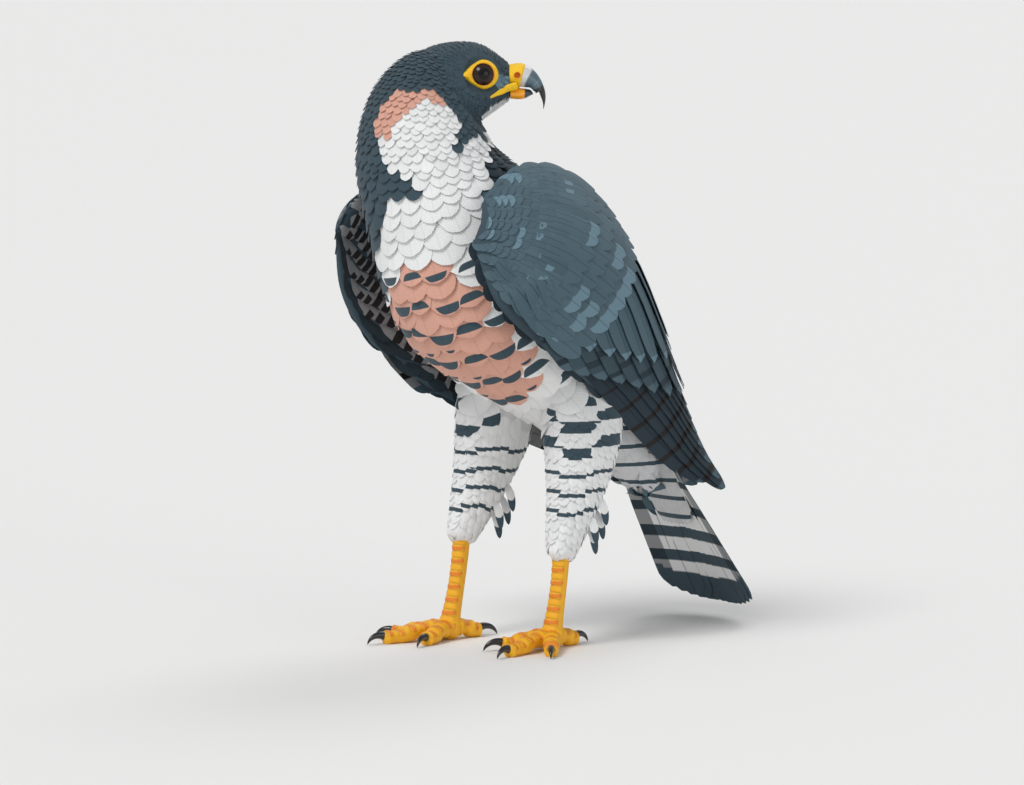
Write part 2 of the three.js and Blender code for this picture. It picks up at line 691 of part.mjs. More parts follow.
function wingCore(lift) {
  const stations = 8;
  const sides = 8;
  const rings = [];
  for (let i = 0; i <= stations; i++) {
    const s = (WING_BODY_END * i) / stations;
    const sink = WING_BODY_SINK * THREE.MathUtils.smoothstep(s, 0.16, 0.5);
    const outer = [];
    const inner = [];
    for (let j = 0; j < sides; j++) {
      const t = j / (sides - 1);
      const edge = 0.22 + 0.78 * Math.sqrt(1 - Math.abs(2 * t - 1) ** 3);
      const front = 0.35 + 0.65 * Math.min(s / 0.12, 1) ** 0.6;
      const rear = 1 - 0.45 * (i / stations) ** 3;
      const thickness = Math.max(wingRow(s)[7] * edge * front * rear, sink + 1.4);
      const normal = wingNormal(s, Math.min(Math.max(t, 0.02), 0.98), lift);
      outer.push(wingPoint(s, t, lift).addScaledVector(normal, -sink));
      inner.unshift(wingPoint(s, t, lift).addScaledVector(normal, -thickness));
    }
    rings.push([...outer, ...inner]);
  }
  return ringSolid(rings);
}

// One feather of the wing, from its sunk root to its tip. Its lower edge leans out over the next one.
const ROOT_SINK = 2.2; // below the surface that the root grows from

function wingFeather({ root, tip, height, width, lean, steps, round, end }, lift) {
  const line = [];
  const normals = [];
  for (let i = 0; i <= steps; i++) {
    const f = i / steps;
    const s = root[0] + (tip[0] - root[0]) * f;
    const t = root[1] + (tip[1] - root[1]) * f;
    const normal = wingNormal(Math.min(s, 0.97), t, lift);
    const sink = WING_BODY_SINK * THREE.MathUtils.smoothstep(root[0], 0.16, 0.5) + ROOT_SINK;
    const rise = Math.min(f * steps, 1);
    line.push(wingPoint(s, t, lift).addScaledVector(normal, -sink + (height + sink) * rise));
    normals.push(normal);
  }
  return vane(line, normals, outline(width, 0.3, round, end), 0.5, lean);
}

// Primaries, from the outermost (the wing's lower edge) inwards: each lies on the one before it.
const PRIMARIES = 8;
const PRIMARY_TIPS = [
  [0.972, 0.2],
  [1, 0.35],
  [0.965, 0.5],
  [0.92, 0.6],
  [0.875, 0.66],
  [0.83, 0.71],
  [0.79, 0.75],
  [0.75, 0.78],
];
const primaries = Array.from({ length: PRIMARIES }, (_, k) => ({
  root: [0.4, 0.07 + 0.05 * k],
  tip: PRIMARY_TIPS[k],
  height: -4.6 + 0.68 * k,
  width: 8.5,
  lean: 0.7,
  steps: 5,
  round: 0.16,
  end: 0.2,
}));

const SECONDARIES = 7;
const secondaries = Array.from({ length: SECONDARIES }, (_, k) => ({
  root: [0.33, 0.2 + 0.09 * k],
  tip: [0.585 + 0.018 * k, 0.17 + 0.1 * k],
  height: 2,
  width: 8.8,
  lean: 1.2,
  steps: 4,
  round: 0.16,
  end: 0.4,
}));

const TERTIALS = 3;
const tertials = Array.from({ length: TERTIALS }, (_, k) => ({
  root: [0.3, 0.78 + 0.06 * k],
  tip: [0.74 - 0.045 * k, 0.84 + 0.055 * k],
  height: 3.4 + 0.8 * k,
  width: 9.5,
  lean: 0.6,
  steps: 4,
  round: 0.2,
  end: 0.4,
}));

const GREATER_COVERTS = 6;
const greaterCoverts = Array.from({ length: GREATER_COVERTS }, (_, k) => ({
  root: [0.2, 0.18 + 0.11 * k],
  tip: [0.455 + 0.014 * k, 0.16 + 0.12 * k],
  height: 4.7,
  width: 10.4,
  lean: 1.2,
  steps: 3,
  round: 0.25,
  end: 0.45,
}));

const PRIMARY_COVERTS = 3;
const primaryCoverts = Array.from({ length: PRIMARY_COVERTS }, (_, k) => ({
  root: [0.21, 0.04 + 0.035 * k],
  tip: [0.53 - 0.035 * k, 0.03 + 0.04 * k],
  height: -1.7 + 0.75 * k,
  width: 6.5,
  lean: 0.6,
  steps: 4,
  round: 0.25,
  end: 0.4,
}));

const WING_FEATHERS = [...primaries, ...secondaries, ...tertials, ...primaryCoverts, ...greaterCoverts];

function wing(lift) {
  return union([wingCore(lift), ...WING_FEATHERS.map((feather) => wingFeather(feather, lift))]);
}

const finish = {
  slate: { color: "#4d5f69", roughness: 0.75 },
  dark: { color: "#2b343a", roughness: 0.7 },
  white: { color: "#e6e3dc", roughness: 0.85 },
  barred: { color: "#b9bab8", roughness: 0.85 },
  yellow: { color: "#f0b31c", roughness: 0.5 },
  horn: { color: "#3a434a", roughness: 0.3 },
  claw: { color: "#1b1a1a", roughness: 0.3 },
  eye: { color: "#17100c", roughness: 0.08 },
};
const bird = new THREE.Group();

function place(name, solid, look) {
  const mesh = solid.getMesh();
  const geometry = new THREE.BufferGeometry();
  const position = new Float32Array(mesh.numVert * 3);
  for (let i = 0; i < mesh.numVert; i++) {
    position.set(mesh.vertProperties.subarray(i * mesh.numProp, i * mesh.numProp + 3), i * 3);
  }
  geometry.setAttribute("position", new THREE.BufferAttribute(position, 3));
  geometry.setIndex(new THREE.BufferAttribute(mesh.triVerts, 1));
  geometry.computeVertexNormals();
  const part = new THREE.Mesh(geometry, new THREE.MeshStandardMaterial({ ...finish[look], metalness: 0 }));
  part.name = name;
  part.position.set(...MIDDLE, 0);
  bird.add(part);
}

const eyes = [eye(1), eye(-1)];
const { head, neck, torso } = flesh(eyes);
const beak = bill();
place("head", head, "dark");
place("neck", neck, "slate");
place("torso", torso, "white");
place("eye_left", eyes[0].ball, "eye");
place("eye_right", eyes[1].ball, "eye");
place("eyelid_left", largest(eyes[0].lid), "yellow");
place("eyelid_right", largest(eyes[1].lid), "yellow");
place("cere", beak.cere, "yellow");
place("bill_upper", beak.horn, "horn");
place("bill_lower", beak.lower, "horn");
place("tail", tail(), "barred");
for (const [name, which] of [["left", LEFT_LEG], ["right", RIGHT_LEG]]) {
  const made = leg(which);
  place("thigh_" + name, made.thigh, "white");
  place("shank_" + name, made.shank, "yellow");
  for (const toe of made.toes) {
    place(`toe_${toe.name}_${name}`, toe.toe, "yellow");
    place(`claw_${toe.name}_${name}`, toe.claw, "claw");
  }
}
const body = [trunk(GAP), headBlock(GAP), tailCore(GAP), thigh(LEFT_LEG, GAP), thigh(RIGHT_LEG, GAP)];
place("wing_left", clearOf(wing(0), ...body), "slate");
place("wing_right", clearOf(mirrored(wing(1)), ...body), "slate");

export default bird;
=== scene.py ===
# A life-size peregrine falcon, standing on a pale floor and looking back over its left shoulder.
# Its sizes are in millimetres in the bird's own frame, which faces -Y with the left side at +X, and
# its meshes are in metres. Feathers lie over one skin; bill, eyes, feet and claws are their own pieces.

import math

import bmesh
import bpy
import numpy as np
from mathutils import Matrix, Vector
from mathutils.bvhtree import BVHTree
from mathutils.kdtree import KDTree


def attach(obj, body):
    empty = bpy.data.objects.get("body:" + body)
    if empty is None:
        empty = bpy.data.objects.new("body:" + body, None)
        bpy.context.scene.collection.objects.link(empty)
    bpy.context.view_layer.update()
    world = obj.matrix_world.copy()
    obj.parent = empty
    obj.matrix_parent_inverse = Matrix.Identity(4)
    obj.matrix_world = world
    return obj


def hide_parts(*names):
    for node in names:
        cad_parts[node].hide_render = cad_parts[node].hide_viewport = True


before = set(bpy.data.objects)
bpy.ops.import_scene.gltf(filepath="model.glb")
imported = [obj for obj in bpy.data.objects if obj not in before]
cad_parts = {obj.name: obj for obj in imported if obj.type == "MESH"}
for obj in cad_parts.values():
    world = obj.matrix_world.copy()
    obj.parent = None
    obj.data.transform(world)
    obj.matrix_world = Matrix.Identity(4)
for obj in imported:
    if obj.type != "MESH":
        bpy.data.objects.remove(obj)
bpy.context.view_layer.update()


# Camera
# A long lens looks at the bird from its front left, from a little above its middle. It stands far back,
# so that the outline stays flat.
CAMERA_AZIMUTH = 50
CAMERA_ELEVATION = 6
CAMERA_LENS = 200
SENSOR_WIDTH = 36
VIEW_WIDTH = 655  # of the floor and air that the frame takes in at the bird
VIEW_MIDDLE = (8.95, -49.1, 162.5)
MM = 0.001


def direction(azimuth, elevation):
    """The way from the bird to a viewer at an azimuth and an elevation in degrees."""
    level = math.cos(math.radians(elevation))
    turn = math.radians(azimuth)
    return Vector((level * math.sin(turn), -level * math.cos(turn), math.sin(math.radians(elevation))))


def aim(thing, azimuth, elevation, distance, target):
    """Sets a camera or lamp at a distance from a target and turns it to face it."""
    away = direction(azimuth, elevation)
    thing.location = Vector(target) * MM + away * distance
    thing.rotation_euler = away.to_track_quat("Z", "Y").to_euler()


lens = bpy.data.cameras.new("camera")
lens.lens = CAMERA_LENS
lens.sensor_width = SENSOR_WIDTH
camera = bpy.data.objects.new("camera", lens)
bpy.context.collection.objects.link(camera)
bpy.context.scene.camera = camera
aim(camera, CAMERA_AZIMUTH, CAMERA_ELEVATION, VIEW_WIDTH * MM * CAMERA_LENS / SENSOR_WIDTH, VIEW_MIDDLE)


# Studio lamps
# Wide soft lamps far enough off to light the whole floor evenly: one above the camera's left, a weaker
# one from the right and one behind for the edges, in a pale room that fills the shadows.
LAMPS = [
    # name, azimuth, elevation, strength, and how many degrees wide the lamp looks
    ("lamp_key", 10, 50, 1.5, 24),
    ("lamp_fill", 95, 8, 0.5, 40),
    ("lamp_rim", 205, 45, 0.55, 30),
]
LAMP_DISTANCE = 3
ROOM_LIGHT = 0.5
ROOM_COLOUR = "#f4f5f7"


def linear(colour):
    """An sRGB hex colour as linear red, green and blue."""
    shares = [int(colour[i : i + 2], 16) / 255 for i in (1, 3, 5)]
    return [v / 12.92 if v <= 0.04045 else ((v + 0.055) / 1.055) ** 2.4 for v in shares]


def add_node(tree, kind, inputs=None, **settings):
    """Adds a shader node with its settings; each input is a value or another node's output."""
    made = tree.nodes.new(kind)
    for name, value in settings.items():
        setattr(made, name, value)
    for name, value in (inputs or {}).items():
        if isinstance(value, bpy.types.NodeSocket):
            tree.links.new(value, made.inputs[name])
        else:
            made.inputs[name].default_value = value
    return made


for name, azimuth, elevation, strength, breadth in LAMPS:
    lamp = bpy.data.lights.new(name, "SUN")
    lamp.angle = math.radians(breadth)
    lamp.energy = strength
    holder = bpy.data.objects.new(name, lamp)
    bpy.context.collection.objects.link(holder)
    aim(holder, azimuth, elevation, LAMP_DISTANCE, VIEW_MIDDLE)

room = bpy.data.worlds.new("pale_room")
room.use_nodes = True
room.node_tree.nodes["Background"].inputs["Color"].default_value = (*linear(ROOM_COLOUR), 1)
room.node_tree.nodes["Background"].inputs["Strength"].default_value = ROOM_LIGHT
bpy.context.scene.world = room
bpy.context.scene.view_settings.view_transform = "Standard"


# Floor
# A sheet of pale matt studio vinyl, laid flat under the feet and wide enough for every view. Its grain
# shows in its dull gloss only.
FLOOR_COLOUR = "#eeeeec"
FLOOR_SIZE = 60


def new_material(name, **shader):
    """A material with its shader's plain values; returns it with its node tree and shader."""
    material = bpy.data.materials.new(name)
    material.use_nodes = True
    tree = material.node_tree
    surface = tree.nodes["Principled BSDF"]
    for socket, value in shader.items():
        surface.inputs[socket.replace("_", " ").title().replace("Ior", "IOR")].default_value = value
    return material, tree, surface


# Matt vinyl: an even pale grey with a fine grain in its roughness.
vinyl, tree, surface = new_material("matt_vinyl", base_color=(*linear(FLOOR_COLOUR), 1))
grain = add_node(tree, "ShaderNodeTexNoise", {"Scale": 900.0, "Detail": 2.0})
spread = add_node(
    tree, "ShaderNodeMapRange", {"Value": grain.outputs["Fac"], "To Min": 0.72, "To Max": 0.86}
)
tree.links.new(spread.outputs["Result"], surface.inputs["Roughness"])
floor_sheet = bmesh.new()
bmesh.ops.create_grid(floor_sheet, x_segments=4, y_segments=4, size=FLOOR_SIZE / 2)
floor_mesh = bpy.data.meshes.new("floor")
floor_sheet.to_mesh(floor_mesh)
floor_sheet.free()
floor_mesh.materials.append(vinyl)
studio_floor = bpy.data.objects.new("floor", floor_mesh)
bpy.context.collection.objects.link(studio_floor)


# Skin
# The body under its feathers: head, neck, breast, belly, rump and thighs in one skin without a seam.
# It is lofted through rows of sections, joined and smoothed, and lies inside the outline by the depth
# of the coat. Sockets for the eyes and the line of the mouth are pressed into it.
MIDDLE = np.array([4.0, -55.0, 0.0])  # sets the middle of the bird over the origin
# Each row of the trunk holds the middle's x, y and z, the half width, and the depths to back and front.
TRUNK_ROWS = [
    [-8, -37, 379, 10, 10, 10],
    [-14, -44, 367, 26, 25, 25],
    [-17, -48, 350, 37, 33, 35],
    [-19, -48, 330, 44, 38, 41],
    [-18, -44, 310, 49, 43, 47],
    [-12, -35, 288, 54, 52, 55],
    [-6, -20, 260, 60, 66, 65],
    [-4, -2, 229, 62, 73, 67],
    [-2, 20, 201, 56, 70, 54],
    [0, 45, 175, 48, 63, 41],
    [0, 74, 150, 38, 51, 31],
    [0, 100, 124, 27, 33, 23],
    [0, 115, 107, 18, 17, 14],
    [0, 127, 91, 9, 7, 7],
]
HEAD_AT = np.array([-2.0, -31.0, 362.0])
HEAD_TURN = 137
HEAD_NOD = -2
HEAD_SIZE = 1.08
# Each row of the head holds x' towards the bill, the heights of top, widest level and bottom, and the
# half width, in the head's own frame.
HEAD_ROWS = [
    [-35, 3, -5, -13, 7],
    [-32, 10, -6, -21, 15],
    [-25, 18, -7, -27, 20.5],
    [-15, 22.8, -7, -30, 24],
    [-5, 24.5, -6, -29, 25],
    [4, 24.6, -5, -27, 24.5],
    [12, 23, -3.5, -23.5, 22.5],
    [19, 19, -2.5, -19, 18.6],
    [25, 14, -1.5, -15, 13.6],
    [29, 10.8, -1, -12.2, 9.8],
    [31, 9.4, -1, -11.2, 8.2],
]
BILL_BASE = 31
# Each leg: its side, the middles of the thigh's top and hem, the ball of the foot, and the toes' turn.
LEGS = {
    "left": {"side": 1, "hip": (31, 44, 166), "hem": (36, 20, 60), "ball": (36, 13), "turn": 14},
    "right": {"side": -1, "hip": (-33, 28, 166), "hem": (-38, -1, 66), "ball": (-38, -11), "turn": 12},
}
THIGH_SHARES = [0, 0.2, 0.42, 0.64, 0.83, 1]
THIGH_HALF_SIZES = [(21, 30), (22.5, 30), (20.5, 26.5), (16.5, 21), (13, 16.5), (9.5, 12)]
THIGH_BOW = 5
TAIL_ROOT = np.array([0.0, 106.0, 144.0])
TAIL_PITCH = 57.5
# Each row of the tail's root holds the way along the tail, the half width, and the depths to back
# and front.
TAIL_ROOT_ROWS = [
    [-12, 26, 26, 24], [6, 25, 22, 21], [24, 21, 14, 15], [44, 16, 7, 9], [62, 10, 2.5, 4],
    [74, 4, 0.8, 1.5],
]
HEAD_COAT = 1.7
THIGH_COAT = 3.2
TAIL_COAT = 1.6
VOXEL = 1.5


def smooth_rows(rows):
    """A smooth line through rows of numbers, read at shares from 0 to 1."""
    rows = np.array(rows, float)
    spans = len(rows) - 1

    def read(share):
        place = np.clip(np.asarray(share, float), 0, 1) * spans
        i = np.minimum(place.astype(int), spans - 1)
        f = (place - i)[..., None]
        a, b, d, e = (rows[np.clip(i + k, 0, spans)] for k in (-1, 0, 1, 2))
        return b + 0.5 * f * (d - a + f * (2 * a - 5 * b + 4 * d - e + f * (3 * (b - d) + e - a)))

    return read


def oval(angle, squareness):
    """A point on an oval section: squareness 2 is an ellipse, and more is squarer."""
    across, up = np.sin(angle), np.cos(angle)
    power = 2 / squareness
    return np.sign(across) * np.abs(across) ** power, np.sign(up) * np.abs(up) ** power


def unit(vectors):
    return vectors / np.maximum(np.linalg.norm(vectors, axis=-1, keepdims=True), 1e-9)


def smooth_step(value, low, high):
    share = np.clip((np.asarray(value, float) - low) / (high - low), 0, 1)
    return share * share * (3 - 2 * share)


trunk_row = smooth_rows(TRUNK_ROWS)
head_row = smooth_rows(HEAD_ROWS)
head_axes = HEAD_SIZE * np.array(
    Matrix.Rotation(math.radians(HEAD_TURN - 90), 3, "Z") @ Matrix.Rotation(math.radians(HEAD_NOD), 3, "Y")
)


def in_head(points):
    """From the head's own frame to the bird's."""
    return HEAD_AT + np.asarray(points, float) @ head_axes.T


def from_head(points):
    return (np.asarray(points, float) - HEAD_AT) @ np.linalg.inv(head_axes).T


def trunk_coat(u):
    """The depth of the plumage on the trunk, thin on the neck and deep on the breast and belly."""
    return np.interp(u, [0, 0.15, 0.35, 0.85, 1], [2.2, 2.8, 4.6, 4.6, 1.5])


def trunk_axes(u):
    row = trunk_row(u)
    along = trunk_row(np.minimum(u + 0.01, 1))[..., :3] - trunk_row(np.maximum(u - 0.01, 0))[..., :3]
    along[..., 0] = 0
    along = unit(along)
    dorsal = np.stack([np.zeros_like(u), -along[..., 2], along[..., 1]], axis=-1)
    return row, along, dorsal


def trunk_point(u, angle, grow=0.0):
    """A point of the trunk at a share of its length, and an angle round it from the back."""
    u, angle, grow = np.broadcast_arrays(np.asarray(u, float), angle, grow)
    row, _, dorsal = trunk_axes(u)
    across, up = oval(angle, 2.15)
    depth = np.where(up > 0, row[..., 4], row[..., 5]) + grow
    point = row[..., :3] + (up * depth)[..., None] * dorsal
    point[..., 0] += across * (row[..., 3] + grow)
    return point


def head_point(u, angle, grow=0.0):
    """A point of the head at a share of its length from the back, and an angle round it from the top."""
    u, angle, grow = np.broadcast_arrays(np.asarray(u, float), angle, grow)
    x, top, level, bottom, width = np.moveaxis(head_row(u), -1, 0)
    across, up = oval(angle, 2.2)
    height = np.where(up > 0, top - level, level - bottom) + grow
    return in_head(np.stack([x, across * (width + grow), level + up * height], axis=-1))


def thigh_point(leg, share, angle, grow=0.0):
    """A point of a thigh at a share of the way down, and an angle round it from behind."""
    share, angle = np.broadcast_arrays(np.asarray(share, float), angle)
    hip, hem = np.array(leg["hip"], float), np.array(leg["hem"], float)
    rows = []
    for f, (width, depth) in zip(THIGH_SHARES, THIGH_HALF_SIZES):
        middle = hip + (hem - hip) * f
        middle[1] += THIGH_BOW * math.sin(math.pi * f)
        rows.append([*middle, width, depth])
    row = smooth_rows(rows)(share)
    across, back = oval(angle, 2.1)
    point = row[..., :3].copy()
    point[..., 0] += across * (row[..., 3] + grow)
    point[..., 1] += back * (row[..., 4] + grow)
    point[..., 2] -= 0.25 * back * row[..., 4]
    return point


tail_row = smooth_rows(TAIL_ROOT_ROWS)
tail_slope = math.radians(TAIL_PITCH)
tail_along = np.array([0, math.cos(tail_slope), -math.sin(tail_slope)])
tail_dorsal = np.array([0, math.sin(tail_slope), math.cos(tail_slope)])


def tail_place(across, along, above):
    """A point by the way across the tail, along it from its root, and above it."""
    across, along, above = (v[..., None] for v in np.broadcast_arrays(across, along, above))
    return TAIL_ROOT + across * np.array([1.0, 0, 0]) + along * tail_along + above * tail_dorsal


def tail_root_point(share, angle, grow=0.0):
    along, width, back, front = np.moveaxis(tail_row(share), -1, 0)
    across, up = oval(angle, 2.1)
    depth = np.maximum(np.where(up > 0, back, front) + grow, 0.4)
    return tail_place(across * np.maximum(width + grow, 0.6), along, up * depth)


def loft(rings):
    """Points and faces of a closed body through rings of points."""
    count, sides = rings.shape[:2]
    points = np.concatenate([rings.reshape(-1, 3), rings[[0, -1]].mean(axis=1)])
    ring = np.arange(count - 1)[:, None] * sides
    side = np.arange(sides)[None, :]
    after = (side + 1) % sides
    walls = np.stack([ring + side, ring + after, ring + sides + after, ring + sides + side], axis=-1)
    faces = walls.reshape(-1, 4).tolist()
    first, last = count * sides, count * sides + 1
    for s in range(sides):
        n = (s + 1) % sides
        faces.append([first, n, s])
        faces.append([last, (count - 1) * sides + s, (count - 1) * sides + n])
    return points, faces


def grid(count, sides):
    """Shares and angles for a loft's rings."""
    return np.linspace(0, 1, count)[:, None], np.linspace(0, 2 * math.pi, sides, endpoint=False)[None, :]


def new_piece(name, points, faces, *materials):
    """An object in metres from points in millimetres in the bird's frame."""
    mesh = bpy.data.meshes.new(name)
    mesh.from_pydata(((points + MIDDLE) * MM).tolist(), [], faces)
    mesh.update()
    for material in materials:
        mesh.materials.append(material)
    mesh.shade_smooth()
    piece = bpy.data.objects.new(name, mesh)
    bpy.context.collection.objects.link(piece)
    return piece


def joined(*bodies):
    """Several closed bodies as one list of points and faces."""
    points, faces, start = [], [], 0
    for body_points, body_faces in bodies:
        points.append(body_points)
        faces += [[v + start for v in face] for face in body_faces]
        start += len(body_points)
    return np.concatenate(points), faces


def fused(piece, voxel, rounds, factor=0.5):
    """Turns overlapping closed bodies into one smooth skin; returns the points in millimetres."""
    remesh = piece.modifiers.new("fuse", "REMESH")
    remesh.mode = "VOXEL"
    remesh.voxel_size = voxel * MM
    soften = piece.modifiers.new("soften", "SMOOTH")
    soften.factor = factor
    soften.iterations = rounds
    shaped = bpy.data.meshes.new_from_object(piece.evaluated_get(bpy.context.evaluated_depsgraph_get()))
    piece.modifiers.clear()
    old, piece.data = piece.data, shaped
    for material in old.materials:
        if material.name not in shaped.materials:
            shaped.materials.append(material)
    bpy.data.meshes.remove(old)
    shaped.shade_smooth()
    return points_of(piece)


def fasten(piece, slot, *nodes):
    """Fastens a piece to the body and hides the solids that it stands for; its slot is not used."""
    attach(piece, "root")
    if nodes:
        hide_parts(*nodes)


def points_of(piece):
    flat = np.empty(len(piece.data.vertices) * 3)
    piece.data.vertices.foreach_get("co", flat)
    return flat.reshape(-1, 3) / MM - MIDDLE


def move_points(piece, points):
    piece.data.vertices.foreach_set("co", ((points + MIDDLE) * MM).ravel())
    piece.data.update()


EYE_AT = np.array([12.8, 11.6, 4.5])  # the left eyeball's middle in the head's frame
EYE_RADIUS = 9.4
EYE_FORWARD = 17
LID_DEPTH = 5.6
SOCKET_RADIUS = 10.6
SOCKET_SLOPE = 4.5
MOUTH_LEVEL = -4.2
BROW_LIFT = 1.3


def eye_line(side):
    """The middle of an eyeball and the way it looks, in the bird's frame."""
    gaze = [math.sin(math.radians(EYE_FORWARD)), side * math.cos(math.radians(EYE_FORWARD)), 0.06]
    return in_head(EYE_AT * (1, side, 1)), unit(np.array(gaze) @ head_axes.T)


def press_face(points):
    """Presses the eye sockets and the corners of the mouth into the head and lifts the brows."""
    x, y, z = from_head(points).T
    side = np.sign(y)
    brow = np.exp(-(((x - 13) / 8) ** 2) - ((z - 13.5 - 0.12 * (x - 13)) / 2.6) ** 2) * (np.abs(y) > 9)
    lift = np.stack([0.25 * brow, side * brow, 0.35 * brow], axis=-1) * BROW_LIFT
    mouth = np.exp(-(((z - MOUTH_LEVEL + 0.1 * (31 - x)) / 0.9) ** 2)) * smooth_step(x, 17, 21) * (z > -12)
    lift[:, 1] -= side * mouth * 1.2
    points = points + lift @ head_axes.T
    for which in (1, -1):
        centre, gaze = eye_line(which)
        offset = points - centre
        height = offset @ gaze
        away = np.linalg.norm(offset - height[:, None] * gaze, axis=1)
        floor = LID_DEPTH - 1.2 + 40 * smooth_step(away, SOCKET_RADIUS, SOCKET_RADIUS + SOCKET_SLOPE) ** 2
        facing = (away < SOCKET_RADIUS + SOCKET_SLOPE) & (height > 0)
        press = np.where(facing, np.minimum(floor - height, 0), 0)
        points = points + press[:, None] * gaze
    return points


trunk_u, trunk_angle = grid(56, 64)
head_u, head_angle = grid(40, 64)
thigh_u, thigh_angle = grid(26, 40)
tail_u, tail_angle = grid(20, 40)
skin = new_piece(
    "skin",
    *joined(
        loft(trunk_point(trunk_u, trunk_angle, -trunk_coat(trunk_u))),
        loft(head_point(head_u, head_angle, -HEAD_COAT)),
        loft(tail_root_point(tail_u, tail_angle, -TAIL_COAT)),
        *(loft(thigh_point(leg, thigh_u, thigh_angle, -THIGH_COAT)) for leg in LEGS.values()),
    ),
)
move_points(skin, press_face(fused(skin, VOXEL, 6)))
fasten(skin, "body_plumage", "head", "neck", "torso", "thigh_left", "thigh_right")
skin_tree = BVHTree.FromObject(skin, bpy.context.evaluated_depsgraph_get())


# Feathers
# A contour feather is a thin closed vane of keratin barbs on a shaft, rounded at the tip and bent to
# lie on the body. Its root is sunk in the skin and its tip lies over the feathers of the next rows.
SHORT_ROWS = np.array([0, 0.3, 0.6, 0.85, 1.0])
LONG_ROWS = np.array([0, 0.2, 0.4, 0.58, 0.73, 0.85, 0.94, 1.0])
PATCH = 0.003  # of the bake map, across one feather
chance = np.random.default_rng(7)
worn = []  # roots and ground colours of the body's feathers, for the skin under them


def lie_on_skin(roots, headings, lengths, shares):
    """Follows the skin from each root: the feather's line and the outward normals along it."""
    lines = np.empty((len(roots), len(shares), 3))
    normals = np.empty_like(lines)
    steps = np.diff(shares, prepend=0)
    for i, (root, heading, length) in enumerate(zip(roots, headings, lengths)):
        place, way = Vector((root + MIDDLE) * MM), Vector(heading)
        normal = Vector((0, 0, 1))
        for r, step in enumerate(steps):
            place, normal, _, _ = skin_tree.find_nearest(place + way * (step * length * MM))
            way = (way - normal * way.dot(normal)).normalized()
            lines[i, r] = place
            normals[i, r] = normal
    for _ in range(2):
        normals[:, 1:-1] = unit(normals[:, :-2] + 2 * normals[:, 1:-1] + normals[:, 2:])
    return lines / MM - MIDDLE, normals


def rounded(shares, root_share, tip_share, end):
    """The width of a vane along its length: it opens from the root and rounds off at the tip."""
    opened = root_share + (1 - root_share) * np.minimum(shares / 0.42, 1) ** 0.8
    left = (shares - 1 + tip_share) / tip_share
    closed = np.where(left > 0, np.sqrt(np.maximum(1 - left**2, end**2)), 1)
    return opened * closed


